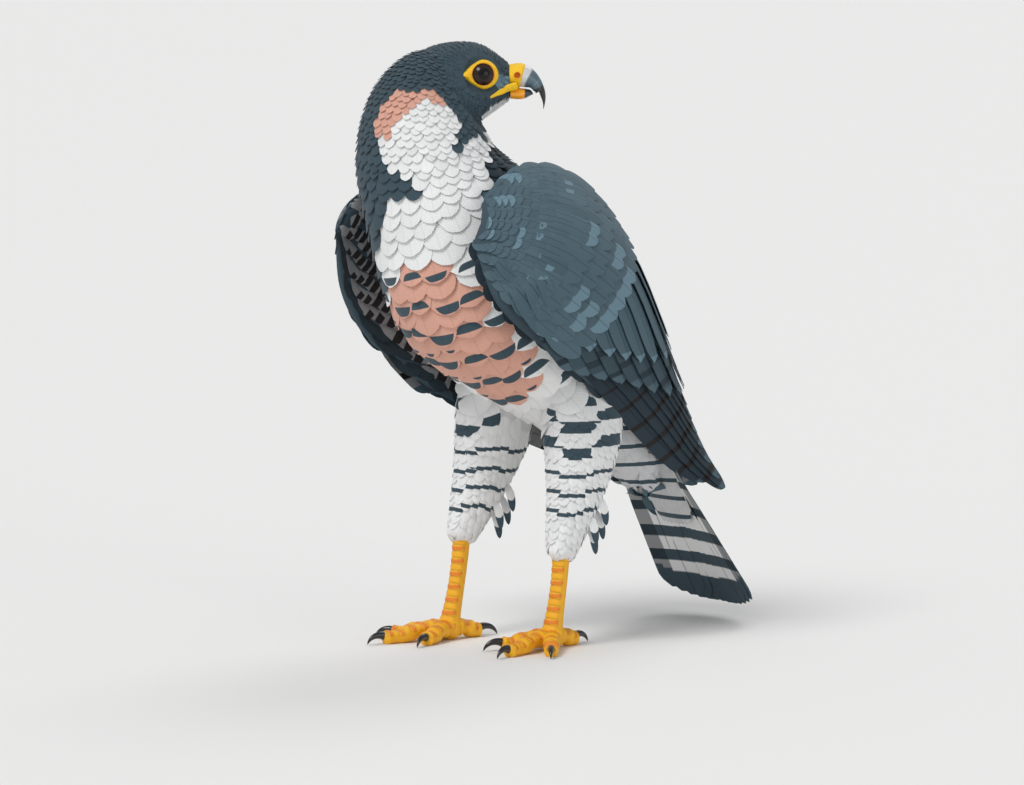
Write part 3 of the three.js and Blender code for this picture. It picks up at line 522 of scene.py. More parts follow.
def vanes(name, lines, normals, shares, width, outline, rise, patches, looks, material, **form):
    """One mesh of closed vanes, in millimetres, with its colours as attributes and its bake map.

    lines and normals run feather by feather and row by row, width and patches feather by feather.
    rise is each row's height over the line. form may hold camber, lean, thickness and ragged.
    """
    count, rows = lines.shape[:2]
    top = np.linspace(-1, 1, form.get("columns", 5))
    columns = len(top)
    under = [0.0] if not form.get("both_faces") else list(top[::-1])
    across = np.concatenate([top, under])
    ring = len(across)
    is_under = np.arange(ring) >= columns
    along = unit(np.gradient(lines, axis=1))
    side = unit(np.cross(along, normals))
    out = unit(np.cross(side, along))
    ragged = 1 + form.get("ragged", 0) * chance.normal(size=(count, rows))
    shape = np.broadcast_to(outline, (count, rows)) * ragged
    half = width[:, None] * shape
    offset = half[..., None] * across
    share = (half / width[:, None])[..., None]
    bend = -np.reshape(form.get("camber", 0.5), (-1, 1, 1)) * across**2 * share
    roll = np.reshape(form.get("lean", 0.0), (-1, 1, 1)) * across * share
    height = np.broadcast_to(rise, (count, rows))[..., None] + bend + roll
    height = (height - form.get("thickness", 0.3) * is_under)[..., None]
    points = lines[:, :, None] + offset[..., None] * side[:, :, None] + height * out[:, :, None]
    mesh = bpy.data.meshes.new(name)
    mesh.vertices.add(count * rows * ring)
    mesh.vertices.foreach_set("co", ((points.reshape(-1, 3) + MIDDLE) * MM).ravel())
    here, after = np.arange(ring), (np.arange(ring) + 1) % ring
    level = (np.arange(rows - 1) * ring)[:, None]
    walls = np.stack([level + here, level + after, level + ring + after, level + ring + here], axis=-1)
    walls = walls.reshape(-1, 4)
    caps = []
    if len(under) == 1:
        for c in range(0, columns - 1, 2):
            caps.append([c, c + 1, c + 2, ring - 1])
    else:
        for c in range(columns - 1):
            caps.append([c, c + 1, ring - 2 - c, ring - 1 - c])
    caps = np.array(caps)
    one = np.concatenate([walls, caps[:, ::-1], caps + (rows - 1) * ring])
    faces = (one[None] + (np.arange(count) * rows * ring)[:, None, None]).reshape(-1, 4)
    mesh.loops.add(faces.size)
    mesh.loops.foreach_set("vertex_index", faces.ravel())
    mesh.polygons.add(len(faces))
    mesh.polygons.foreach_set("loop_start", np.arange(0, faces.size, 4))
    mesh.update(calc_edges=True)
    mesh.shade_smooth()
    ends = np.empty(len(mesh.edges) * 2, int)
    mesh.edges.foreach_get("vertices", ends)
    column, row = ends.reshape(-1, 2) % ring, ends.reshape(-1, 2) // ring % rows
    rims = np.isin(column, (0, columns - 1) if len(under) == 1 else (0, columns - 1, columns, ring - 1))
    sharp = (rims.all(axis=1) & (column[:, 0] == column[:, 1])) | (row == rows - 1).all(axis=1)
    mesh.attributes.new("sharp_edge", "BOOLEAN", "EDGE").data.foreach_set("value", sharp)
    place = np.zeros((count, rows, ring, 3))
    place[..., 0] = across * share
    place[..., 1] = np.broadcast_to(shares, (count, rows))[..., None]
    place[..., 2] = is_under
    mesh.attributes.new("vane", "FLOAT_VECTOR", "POINT").data.foreach_set("vector", place.ravel())
    if "zone" in form:
        mesh.attributes.new("zone", "FLOAT", "POINT").data.foreach_set("value", form["zone"](points).ravel())
    for look, values in looks.items():
        spread = np.ones((count, rows * ring, 4))
        spread[..., : values.shape[1]] = values[:, None]
        mesh.attributes.new(look, "FLOAT_COLOR", "POINT").data.foreach_set("color", spread.ravel())
    local = np.stack([place[..., 0] / 2, place[..., 1] - 0.5], axis=-1) * PATCH
    bake = (patches[:, None, None] + local).reshape(-1, 2)
    mesh.uv_layers.new(name="OFBake").data.foreach_set("uv", bake[faces.ravel()].ravel())
    mesh.materials.append(material)
    piece = bpy.data.objects.new(name, mesh)
    bpy.context.collection.objects.link(piece)
    return piece


# Feather keratin: a dull satin. A shaft runs down the middle and the barbs slant from it. Real barbs
# stand 0.3 mm apart, so they are drawn about five times as coarse.
def barbed(tree, surface, colour, across, share, barbs, shaft):
    """Lays a feather's colour on its shader, with the shaft's tone, the barbs' relief, and painted shade and
    highlight in step with that relief.
    """
    middle = add_node(tree, "ShaderNodeMath", {0: across}, operation="ABSOLUTE")
    near = add_node(
        tree,
        "ShaderNodeMapRange",
        {"Value": middle.outputs[0], "From Min": 0.03, "From Max": 0.07, "To Min": shaft, "To Max": 1.0},
    )
    slant = add_node(
        tree, "ShaderNodeMath", {0: middle.outputs[0], 1: -0.35, 2: share}, operation="MULTIPLY_ADD"
    )
    phase = add_node(
        tree, "ShaderNodeMath", {0: slant.outputs[0], 1: barbs * 2 * math.pi}, operation="MULTIPLY"
    )
    wave = add_node(tree, "ShaderNodeMath", {0: phase.outputs[0]}, operation="SINE")
    # Painted shade and highlight: the barbs' colour darkens in the furrows of their relief and lightens on
    # its crests.
    shade = add_node(
        tree,
        "ShaderNodeMapRange",
        {"Value": wave.outputs[0], "From Min": -1.0, "From Max": 1.0, "To Min": 0.93, "To Max": 1.05},
    )
    value = add_node(
        tree, "ShaderNodeMath", {0: near.outputs[0], 1: shade.outputs[0]}, operation="MULTIPLY"
    )
    toned = add_node(tree, "ShaderNodeHueSaturation", {"Value": value.outputs[0], "Color": colour})
    tree.links.new(toned.outputs["Color"], surface.inputs["Base Color"])
    relief = add_node(
        tree, "ShaderNodeBump", {"Height": wave.outputs[0], "Strength": 0.25, "Distance": 0.0002}
    )
    tree.links.new(relief.outputs["Normal"], surface.inputs["Normal"])


def vane_inputs(tree, *names):
    """The place across and along a vane, and the outputs of its named looks."""
    vane = add_node(tree, "ShaderNodeAttribute", attribute_name="vane")
    parts = add_node(tree, "ShaderNodeSeparateXYZ", {"Vector": vane.outputs["Vector"]})
    looks = [add_node(tree, "ShaderNodeAttribute", attribute_name=name).outputs for name in names]
    return parts.outputs, looks


def switch(tree, amount, low, high, first, second):
    """Turns one colour into another where an amount passes from low to high."""
    share = add_node(tree, "ShaderNodeMapRange", {"Value": amount, "From Min": low, "From Max": high})
    mixed = add_node(tree, "ShaderNodeMix", {0: share.outputs[0], 6: first, 7: second}, data_type="RGBA")
    return mixed.outputs[2]


LEVEL_BAR = 0.24  # of the way between level bars


# Contour feathers have a ground colour, one crisp bar whose edges may bow, and a tip. Where a zone is
# given, bars run level across them.
def contour_material(name, barbs, roughness, sheen, shaft):
    material, tree, surface = new_material(
        name, roughness=roughness, sheen_weight=sheen, specular_ior_level=0.2
    )
    parts, (ground, mark, tip, band) = vane_inputs(tree, "ground", "mark", "tip", "band")
    across, share = parts["X"], parts["Y"]
    edges = add_node(tree, "ShaderNodeSeparateColor", {"Color": band["Color"]}).outputs
    square = add_node(tree, "ShaderNodeMath", {0: across, 1: across}, operation="MULTIPLY").outputs[0]
    fourth = add_node(tree, "ShaderNodeMath", {0: square, 1: square}, operation="MULTIPLY").outputs[0]
    upper = add_node(
        tree, "ShaderNodeMath", {0: fourth, 1: edges["Blue"], 2: edges["Red"]}, operation="MULTIPLY_ADD"
    )
    bow = add_node(tree, "ShaderNodeMath", {0: fourth, 1: band["Alpha"]}, operation="MULTIPLY")
    lower = add_node(tree, "ShaderNodeMath", {0: edges["Green"], 1: bow.outputs[0]}, operation="SUBTRACT")
    over = add_node(tree, "ShaderNodeMath", {0: share, 1: upper.outputs[0]}, operation="SUBTRACT")
    under = add_node(tree, "ShaderNodeMath", {0: lower.outputs[0], 1: share}, operation="SUBTRACT")
    within = add_node(tree, "ShaderNodeMath", {0: over.outputs[0], 1: under.outputs[0]}, operation="MINIMUM")
    barred = switch(tree, within.outputs[0], -0.008, 0.012, ground["Color"], mark["Color"])
    zone = add_node(tree, "ShaderNodeAttribute", attribute_name="zone").outputs["Fac"]
    along = add_node(tree, "ShaderNodeMath", {0: zone}, operation="FRACT").outputs[0]
    level = add_node(tree, "ShaderNodeMath", {0: LEVEL_BAR, 1: along}, operation="SUBTRACT").outputs[0]
    shown = add_node(tree, "ShaderNodeMath", {0: level, 1: zone}, operation="MINIMUM").outputs[0]
    barred = switch(tree, shown, 0.005, 0.03, barred, mark["Color"])
    bowed = add_node(tree, "ShaderNodeMath", {0: square, 1: 0.1, 2: share}, operation="MULTIPLY_ADD")
    beyond = add_node(tree, "ShaderNodeMath", {0: bowed.outputs[0], 1: tip["Alpha"]}, operation="SUBTRACT")
    tipped = switch(tree, beyond.outputs[0], -0.01, 0.015, barred, tip["Color"])
    barbed(tree, surface, tipped, across, share, barbs, shaft)
    return material


down_feather = contour_material("soft_feather_keratin", 16, 0.78, 0.12, 0.92)
slate_feather = contour_material("slate_feather_keratin", 18, 0.66, 0.05, 0.72)

WHITE = linear("#eceded")
# White greyed by painted shade
SHADED_WHITE = linear("#cdced0")
SALMON = linear("#dba693")
HOOD = linear("#3d4f59")
SLATE = linear("#4f6570")
PALE_SLATE = linear("#6c8896")
DEEP_SLATE = linear("#283740")
BLACK_BAR = linear("#231f20")
MID_GREY = linear("#959699")


def inside(outline, x, z):
    """Whether points in the plane lie within an outline."""
    found = np.zeros(x.shape, bool)
    for (x0, z0), (x1, z1) in zip(outline, outline[1:] + outline[:1]):
        crosses = (z0 > z) != (z1 > z)
        found ^= crosses & (x < (x1 - x0) * (z - z0) / (z1 - z0 + 1e-9) + x0)
    return found


# Hood
# The head's small feathers lie back from the bill over the crown and cheeks and round the eyes. A dark
# hood ends in a pointed moustache under each eye, beside a white cheek with a salmon arch.
HEAD_LENGTH = 96
HEAD_SPACING = 2.05
HEAD_FEATHER = (6.4, 1.9)  # length and half width
# Outlines in the head's own x' and z'. The pale cheek and throat run down into the breast.
CHEEK = [
    (-48, -40), (-48, -24), (-46, -14), (-41, -8), (-34, -4.5), (-26, -3.5), (-17, -5.5), (-9, -10),
    (-3, -16), (0, -22), (-2, -28), (-7, -34.5), (0, -32), (-3, -38), (-7, -43), (0, -40), (10.5, -30),
    (12, -36), (15, -41), (12.5, -31), (13, -23), (16.5, -16.5), (21.5, -12), (27, -9.5), (31, -8.5),
    (60, -8.5), (120, -300), (-120, -300), (-120, -160), (-34, -155), (-39, -147), (-45.4, -130),
    (-48.8, -110), (-49.2, -96), (-48, -89), (-43, -82), (-36.2, -78.2), (-44.4, -77.4), (-38, -69.5),
    (-31, -66.5), (-25, -67.2), (-20.1, -70), (-22.5, -63.5), (-26.3, -59.5), (-40.8, -51), (-46, -46),
]
CHEEK_WHITE_AT = (-17.5, -25)
CHEEK_WHITE_RADIUS = 11.5
SALMON_EDGE = [(-48, -37), (-41, -33), (-28.5, -13.7), (-20, -10), (0, -16)]
LORE = [(18.5, 8), (30.5, 1.5), (30.5, -2.5), (17, -2.5)]


def hood_colours(points):
    """The ground colour of each feather of the head and neck from its place in the head's frame."""
    x, _, z = from_head(points).T
    colours = np.tile(HOOD, (len(points), 1))
    pale = inside(CHEEK, x, z)
    colours[pale] = WHITE
    edge = np.interp(x, *np.array(SALMON_EDGE).T)
    ring = np.hypot(x - CHEEK_WHITE_AT[0], z - CHEEK_WHITE_AT[1]) > CHEEK_WHITE_RADIUS
    colours[pale & (x < 1) & (z > edge) & ring & (z > -38)] = SALMON
    colours[inside(LORE, x, z)] = PALE_SLATE
    return colours


def wear(name, slot, *made, **form):
    """Makes a coat piece and fastens it to the body."""
    piece = vanes(name, *made, **form)
    fasten(piece, slot)
    return piece


NO_BAR = [2.0, 2.0, 0.0, 0.0]  # a bar past the feather's tip, which doesn't show


def contour_looks(colours, **given):
    """The looks of plain contour feathers, with any of mark, tip and band given."""
    count = len(colours)
    tip = np.column_stack([colours, np.full(count, 2.0)])
    return {"ground": colours, "mark": colours, "tip": tip, "band": np.tile(NO_BAR, (count, 1)), **given}


def rows_on(surface, starts, perimeter, spacing):
    """Staggered rows of roots round a surface: their shares along it, their angles and their rows."""
    shares, angles, rows = [], [], []
    for k, (u, gap) in enumerate(zip(starts, spacing)):
        count = max(int(perimeter(u) / gap), 6)
        turn = (np.arange(count) + 0.5 * (k % 2)) / count + chance.normal(0, 0.1 / count, count)
        dense = np.linspace(0, 2 * math.pi, 181)
        ring = surface(u, dense)
        length = np.concatenate([[0], np.cumsum(np.linalg.norm(np.diff(ring, axis=0), axis=1))])
        angles.append(np.interp(turn % 1, length / length[-1], dense))
        shares.append(np.full(count, u))
        rows.append(np.full(count, k))
    return np.concatenate(shares), np.concatenate(angles), np.concatenate(rows)


def perimeter_of(surface):
    def perimeter(u):
        ring = surface(u, np.linspace(0, 2 * math.pi, 91))
        return np.linalg.norm(np.diff(ring, axis=0), axis=1).sum()

    return perimeter


def on_skin(points, reach):
    """Which points lie on the skin, not buried where two parts of the body join."""
    return np.array([skin_tree.find_nearest(Vector((p + MIDDLE) * MM))[3] < reach * MM for p in points])


def even_rows(length, spacing):
    """Shares of rows whose spacing changes along the way; spacing is read at each share."""
    shares = [0.0]
    while shares[-1] < 1:
        shares.append(shares[-1] + spacing(shares[-1]) / length)
    return np.array(shares[:-1])


starts = even_rows(HEAD_LENGTH, lambda u: HEAD_SPACING)[2:]
head_surface = lambda u, angle: head_point(u, angle, -HEAD_COAT)
gaps = np.full(len(starts), HEAD_SPACING * 1.12)
u, angle, _ = rows_on(head_surface, starts, perimeter_of(head_surface), gaps)
roots = head_surface(u, angle)
x, y, z = from_head(roots).T
keep = on_skin(roots, 3.2) & ~((x > 19) & (np.abs(z - MOUTH_LEVEL + 0.1 * (31 - x)) < 1.1)) & (x < 30.2)
backward = -head_axes[:, 0] / HEAD_SIZE
sink = (1 - smooth_step(x, -28, 24)) * 0.75 + 0.35 * smooth_step(-z, 8, 24)
headings = backward + sink[:, None] * np.array([0, 0, -1.0])
for side in (1, -1):
    centre, gaze = eye_line(side)
    offset = roots - centre
    radial = offset - (offset @ gaze)[:, None] * gaze
    away = np.linalg.norm(radial, axis=1)
    facing = offset @ gaze > 0
    headings += (2.2 * (1 - smooth_step(away, 11, 19)) * facing)[:, None] * radial / away[:, None]
    keep &= ~(facing & (away < 11.4))
u, angle, roots, headings, x = u[keep], angle[keep], roots[keep], unit(headings[keep]), x[keep]
size = np.interp(x, [-35, 0, 20, 31], [1.25, 1.0, 0.8, 0.55]) * chance.normal(1, 0.08, len(x))
lines, normals = lie_on_skin(roots, headings, HEAD_FEATHER[0] * size, SHORT_ROWS)
colours = hood_colours(roots) * chance.normal(1, 0.05, (len(x), 1))
worn.append((roots, colours))
wear(
    "hood_feathers",
    "hood",
    lines,
    normals,
    SHORT_ROWS,
    HEAD_FEATHER[1] * size,
    rounded(SHORT_ROWS, 0.45, 0.45, 0.3),
    -0.5 + 1.7 * SHORT_ROWS,
    np.stack([angle / (2 * math.pi), u], axis=-1),
    contour_looks(colours),
    down_feather,
    columns=3,
    camber=0.35,
    thickness=0.25,
)


# Breast, belly and back
# Rows of contour feathers, small on the neck and wide on the belly. The breast is white with a salmon belly
# and dark bars that grow downwards; the neck's back, the mantle and the rump are slate. On the neck the
# slate is darkened by painted shade, and a strip of painted shade lies on the far side below the cheek.
TRUNK_LENGTH = 345
BAR_PITCH = 14.7  # between rows of bars on the belly
# The belly's salmon patch, an outline in the head's x' and z' like the cheek's
BELLY_SALMON = [
    (-15.9, -107), (-6.4, -108.4), (3.7, -116.8), (13.2, -135.3), (28.6, -156.3), (41, -171.9),
    (48.7, -188.6), (49.5, -208), (35, -216), (-48, -188), (-43, -158), (-43, -146), (-41.4, -134),
    (-36, -121), (-27.1, -111.5),
]
HIPS_HEIGHT = 186  # below which the thighs' tops are lapped by white
UNDER_HEIGHT = 168  # below which the belly behind the thighs has thin bars
THIGHS_FRONT = -4  # y of the left thigh's front at that height
RIGHT_THIGH_AHEAD = 20
REAR_START = 62  # y behind which the belly's white is greyed by painted shade
REAR_BARS = (70, 13)  # lowest height and pitch of the thin bars under the tail
NECK_BACK = 17  # x' beyond which the turned neck is deep slate, its slate darkened by painted shade
FAR_CHEEK = -33  # z' down to which the far side shows the cheek; below it lies a strip of painted shade


def trunk_spacing(u):
    return np.interp(u, [0, 0.1, 0.24, 0.36, 1], [2.5, 3.0, 4.6, BAR_PITCH / 2, BAR_PITCH / 2])


def trunk_gap(u):
    """The way between feathers of one row: they are broadest on the belly."""
    return trunk_spacing(u) * np.interp(u, [0, 0.24, 0.4], [1.45, 1.55, 2.5])


def level_bars(points):
    """How many level bars lie between a low one and each point."""
    low, pitch = REAR_BARS
    return np.maximum((points[..., 2] - low) / pitch, 0)


starts = even_rows(TRUNK_LENGTH, trunk_spacing)[3:]
trunk_surface = lambda u, angle: trunk_point(u, angle, -trunk_coat(u))
gaps = trunk_gap(starts)
u, angle, row = rows_on(trunk_surface, starts, perimeter_of(trunk_surface), gaps)
roots = trunk_surface(u, angle)
keep = on_skin(roots, 3.0) & ((u < 0.9) | (np.cos(angle) > 0.3))
u, angle, row, roots = u[keep], angle[keep], row[keep], roots[keep]
headings = unit(trunk_point(np.minimum(u + 0.01, 1), angle) - trunk_point(u, angle))
spacing = trunk_spacing(u)
count = len(u)
size = chance.normal(1, 0.05, count)
lengths = spacing * 3.3 * size
lines, normals = lie_on_skin(roots, headings, lengths, LONG_ROWS)
tips = lines[:, -2]
hx, hy, hz = from_head(tips).T
dorsal = np.cos(angle) > np.interp(u, [0, 0.3, 0.7, 1], [0.15, -0.05, 0.25, 0.35])
on_neck = tips[:, 2] > 296
# On the neck the dark feathers are the back of the turned neck and a strip of painted shade on the far side
# below the cheek.
dorsal = np.where(on_neck, (hx > NECK_BACK) | (hy > 12) & (hz < FAR_CHEEK), dorsal)
colours = hood_colours(tips)
# Below the cheek the neck is white, without the cheek's salmon.
high = (hz > -34) & (hx < 1)
colours[~high & (colours[:, 0] > SALMON[0] - 0.01) & (colours[:, 2] < SALMON[2] + 0.01)] = WHITE
colours[~dorsal & (colours[:, 0] > 0.2) & inside(BELLY_SALMON, hx, hz)] = SALMON
# Painted shade: the neck's dark feathers are deep slate instead of slate, and where x' is under NECK_BACK -
# 4 the far-side strip is hood-coloured.
colours[dorsal] = np.where(on_neck[dorsal, None], DEEP_SLATE, SLATE)
colours[dorsal & on_neck & (hx < NECK_BACK - 4)] = HOOD
colours *= chance.normal(1, 0.03, (count, 1))
thighs_front = THIGHS_FRONT - RIGHT_THIGH_AHEAD * (tips[:, 0] < -8)
rear = tips[:, 1] > thighs_front + 0.35 * (HIPS_HEIGHT - tips[:, 2])
lap = ~dorsal & (tips[:, 2] < HIPS_HEIGHT) & rear
colours[lap] = WHITE
# Behind REAR_START the belly's white feathers are greyed by painted shade.
behind = lap & (tips[:, 1] > REAR_START)
colours[behind] = SHADED_WHITE
ventral = ~dorsal & (tips[:, 2] < 270) & (colours[:, 0] > 0.2) & ~(lap & (tips[:, 2] < UNDER_HEIGHT))
grown = smooth_step(-tips[:, 2], -268, -200)
sparse = chance.random(count) > 0.35 + 0.65 * smooth_step(-tips[:, 2], -262, -228)
barred = ventral & (row % 2 == 0) & ~sparse
# Marks are half discs, domed or hollowed in turn; a few small points lie between their rows.
domed = np.arange(count) % 2 == 0
thick = 0.15 + 0.1 * grown
low_edge = np.where(domed, 0.85, 0.965) + chance.normal(0, 0.006, count)
round_edge = thick / np.interp(grown, [0, 1], [0.58, 0.76]) ** 4
band = np.column_stack([low_edge - thick, low_edge, round_edge * domed, round_edge * ~domed])
pointed = ventral & (row % 2 == 1) & (tips[:, 2] < 225) & (colours[:, 2] < 0.5)
pointed &= chance.random(count) > 0.55
band[pointed] = (0.86, 0.95, 0.0, 9.0)
band[~barred & ~pointed] = NO_BAR
tip = np.column_stack([colours * 1.02, np.full(count, 2.0)])
back_tips = dorsal & (tips[:, 2] < 300)
tip[back_tips] = [*PALE_SLATE, 0.965]
looks = contour_looks(colours, mark=np.tile(HOOD, (count, 1)), tip=tip, band=band)
worn.append((roots, colours))
for name, chosen, material, slot in [
    ("neck_feathers", tips[:, 2] >= 300, down_feather, "hood"),
    ("breast_feathers", (tips[:, 2] < 300) & ~dorsal & ~behind, down_feather, "body_plumage"),
    ("vent_feathers", behind, down_feather, "body_plumage"),
    ("back_feathers", (tips[:, 2] < 300) & dorsal, slate_feather, "wing_plumage"),
]:
    wear(
        name,
        slot,
        lines[chosen],
        normals[chosen],
        LONG_ROWS,
        (trunk_gap(u) * 0.68 * size)[chosen],
        rounded(LONG_ROWS, 0.4, 0.42, 0.12),
        -1.2 + (1.2 + 0.8 * trunk_coat(u[chosen]))[:, None] * LONG_ROWS,
        np.stack([angle / (2 * math.pi), u], axis=-1)[chosen],
        {look: values[chosen] for look, values in looks.items()},
        material,
        camber=0.1 * trunk_gap(u[chosen]),
        thickness=0.35,
        ragged=0.03,
        columns=7,
        **({"zone": level_bars} if name == "vent_feathers" else {}),
    )


# Thighs
# Loose white trousers of narrow feathers hang down each leg to a fringe over the shank, with dark bars
# that thin out downwards and a few pointed plumes behind the hem.
THIGH_LENGTH = 112
THIGH_SPACING = 5.0
THIGH_END = 0.93
THIGH_GAP = 6.4
# Each bar's height and thickness: deep waves above, thin steps below. Waves turn at the given angle.
THIGH_BARS = {
    "left": [(180, 7.6), (163, 7.6), (146, 7.6), (129, 7.6), (112, 2.6), (99.8, 2.6), (87.6, 2.6)],
    "right": [(173, 7.6), (156, 7.6), (139, 7.6), (122.5, 2.7), (110, 2.7), (97.8, 2.7), (85.5, 2.7)],
}
WAVE_TURN = {"left": 130, "right": 178}
PLUMES = [(0.58, 0.95), (0.66, 0.6), (0.7, 1.15), (0.76, 0.8)]  # share down, angle
PLUME = (20, 2.9)  # length and half width
PLUME_WAY = (0.05, 0.16, -1.0)


def share_at(lines, heights):
    """The share of each hanging feather's length at which it passes a height."""
    drop = np.minimum.accumulate(lines[..., 2], axis=1)
    heights = np.broadcast_to(heights, len(lines))
    shares = [np.interp(-h, -line, LONG_ROWS, left=-0.2, right=1.2) for h, line in zip(heights, drop)]
    return np.array(shares)


for name, leg in LEGS.items():
    surface = lambda share, angle: thigh_point(leg, share, angle, -THIGH_COAT)
    starts = even_rows(THIGH_LENGTH, lambda u: THIGH_SPACING)
    u, angle, _ = rows_on(surface, starts, perimeter_of(surface), np.full(len(starts), THIGH_GAP))
    roots = surface(u, angle)
    keep = on_skin(roots, 2.6) & (u < THIGH_END)
    u, angle, roots = u[keep], angle[keep], roots[keep]
    headings = unit(surface(np.minimum(u + 0.02, 1), angle) - surface(np.minimum(u, 0.98), angle))
    count = len(u)
    lengths = np.interp(u, [0, 0.7, 1], [21, 20, 20]) * chance.normal(1, 0.06, count)
    widths = np.interp(u, [0, 0.6, 1], [5.6, 4.8, 3.6])
    lines, normals = lie_on_skin(roots, headings, lengths, LONG_ROWS)
    hang = smooth_step(u, 0.75, 0.98)[:, None] * LONG_ROWS[None] ** 1.5
    lines[..., 2] -= (6 + chance.normal(0, 1.4, count))[:, None] * hang
    colours = np.array(WHITE) * chance.normal(1, 0.03, (count, 1))
    wave = np.cos(3 * (angle - math.radians(WAVE_TURN[name])))
    wave *= np.cos(0.9 * np.sin(5 * u))
    band = np.tile(NO_BAR, (count, 1))
    for level, height in THIGH_BARS[name]:
        deep = height > 5
        swell = np.minimum(np.abs(wave) * 2.2, 1) ** 0.5 * height if deep else height
        low = level - np.where(wave > 0, swell, 0) if deep else level - height * smooth_step(wave, -0.2, 0.2)
        high = low + swell
        top, bottom = share_at(lines, high), share_at(lines, low)
        chosen = (top < 0.97) & (bottom > 0.62) & (band[:, 0] > 1)
        band[chosen, :2] = np.column_stack([top, bottom])[chosen]
    worn.append((roots, colours))
    wear(
        f"thigh_{name}_feathers",
        "body_plumage",
        lines,
        normals,
        LONG_ROWS,
        widths,
        rounded(LONG_ROWS, 0.4, 0.5, 0.1),
        -1 + 3.2 * LONG_ROWS,
        np.stack([angle / (2 * math.pi), u], axis=-1),
        contour_looks(colours, mark=np.tile(HOOD, (count, 1)), band=band),
        down_feather,
        camber=0.9,
        thickness=0.35,
        ragged=0.03,
    )
    u, angle = np.array(PLUMES).T
    roots = surface(u, angle)
    lines = roots[:, None] + unit(np.array(PLUME_WAY)) * (PLUME[0] * LONG_ROWS[:, None])
    lines[..., 1] += 1.6 * np.sin(LONG_ROWS * 2.4)
    outward = np.stack([np.sin(angle) + 0.6, np.cos(angle) - 1.1, np.full_like(u, 0.3)], axis=-1)
    normals = unit(np.tile(outward[:, None], (1, len(LONG_ROWS), 1)))
    colours = np.tile(WHITE, (len(u), 1))
    wear(
        f"thigh_{name}_plumes",
        "body_plumage",
        lines,
        normals,
        LONG_ROWS,
        np.full(len(u), PLUME[1]),
        rounded(LONG_ROWS, 0.6, 0.6, 0.05),
        -2 + 4.5 * np.minimum(LONG_ROWS * 3, 1),
        np.stack([angle / (2 * math.pi), u], axis=-1),
        contour_looks(colours, tip=np.tile([*HOOD, 0.62], (len(u), 1))),
        down_feather,
        camber=0.6,
        thickness=0.3,
    )


# Tail
# Twelve stiff feathers lie in a roof, the outer ones lowest. Above they are slate with dark bars, and
# below pale, greyer at the sides, with bars up to a broad dark band at the tip. Coverts lie over their
# roots on both faces.
TAIL_LENGTH = 160
TAIL_HALF_WIDTH = 11.5
TAIL_FAN = 1.6
TAIL_LAYER = 0.95
TAIL_BAND = 20
TAIL_BARS = (20.8, 0.46)  # pitch in millimetres, and the dark share of it
PALE_SHARE = 0.7  # of the tail's underside, pale along the middle
FLIGHT_ROWS = np.array([0, 0.06, 0.14, 0.24, 0.36, 0.48, 0.6, 0.71, 0.8, 0.87, 0.92, 0.955, 0.98, 1.0])


# Flight feather keratin: the stiff, closely hooked barbs of a quill, satin above and paler below. Even
# bars run across it to its tip, set by their pitch, thickness, first place and skew.
def flight_material(name, barbs, roughness):
    material, tree, surface = new_material(name, roughness=roughness, specular_ior_level=0.15)
    parts, (ground, mark, under, under_mark, tip, bars) = vane_inputs(
        tree, "ground", "mark", "under", "under_mark", "tip", "bars"
    )
    across, share, below = parts["X"], parts["Y"], parts["Z"]
    pitch = add_node(tree, "ShaderNodeSeparateColor", {"Color": bars["Color"]}).outputs
    skewed = add_node(
        tree, "ShaderNodeMath", {0: across, 1: bars["Alpha"], 2: share}, operation="MULTIPLY_ADD"
    )
    turns = add_node(tree, "ShaderNodeMath", {0: skewed.outputs[0], 1: pitch["Red"]}, operation="DIVIDE")
    along = add_node(tree, "ShaderNodeMath", {0: turns.outputs[0]}, operation="FRACT")
    grown = add_node(
        tree,
        "ShaderNodeMapRange",
        {"Value": share, "From Min": 0.2, "From Max": 0.6, "To Min": 0.35, "To Max": 1.0},
    ).outputs[0]
    thickness = add_node(tree, "ShaderNodeMath", {0: pitch["Green"], 1: grown}, operation="MULTIPLY")
    within = add_node(
        tree, "ShaderNodeMath", {0: thickness.outputs[0], 1: along.outputs[0]}, operation="SUBTRACT"
    )
    started = add_node(tree, "ShaderNodeMath", {0: share, 1: pitch["Blue"]}, operation="SUBTRACT")
    shown = add_node(
        tree, "ShaderNodeMath", {0: within.outputs[0], 1: started.outputs[0]}, operation="MINIMUM"
    )
    zone = add_node(tree, "ShaderNodeAttribute", attribute_name="zone").outputs["Fac"]
    side = switch(tree, zone, 0.005, 0.02, under["Color"], (*MID_GREY, 1))
    side_mark = switch(tree, zone, 0.005, 0.02, under_mark["Color"], (*DEEP_SLATE, 1))
    rim = switch(tree, zone, 0.28, 0.3, side, (*HOOD, 1))
    lit = switch(tree, below, 0.85, 0.98, ground["Color"], rim)
    dark = switch(tree, below, 0.85, 0.98, mark["Color"], side_mark)
    barred = switch(tree, shown.outputs[0], -0.02, 0.03, lit, dark)
    beyond = add_node(tree, "ShaderNodeMath", {0: skewed.outputs[0], 1: tip["Alpha"]}, operation="SUBTRACT")
    tipped = switch(tree, beyond.outputs[0], -0.004, 0.006, barred, tip["Color"])
    barbed(tree, surface, tipped, across, share, barbs, 0.6)
    return material


quill_keratin = flight_material("quill_feather_keratin", 60, 0.58)

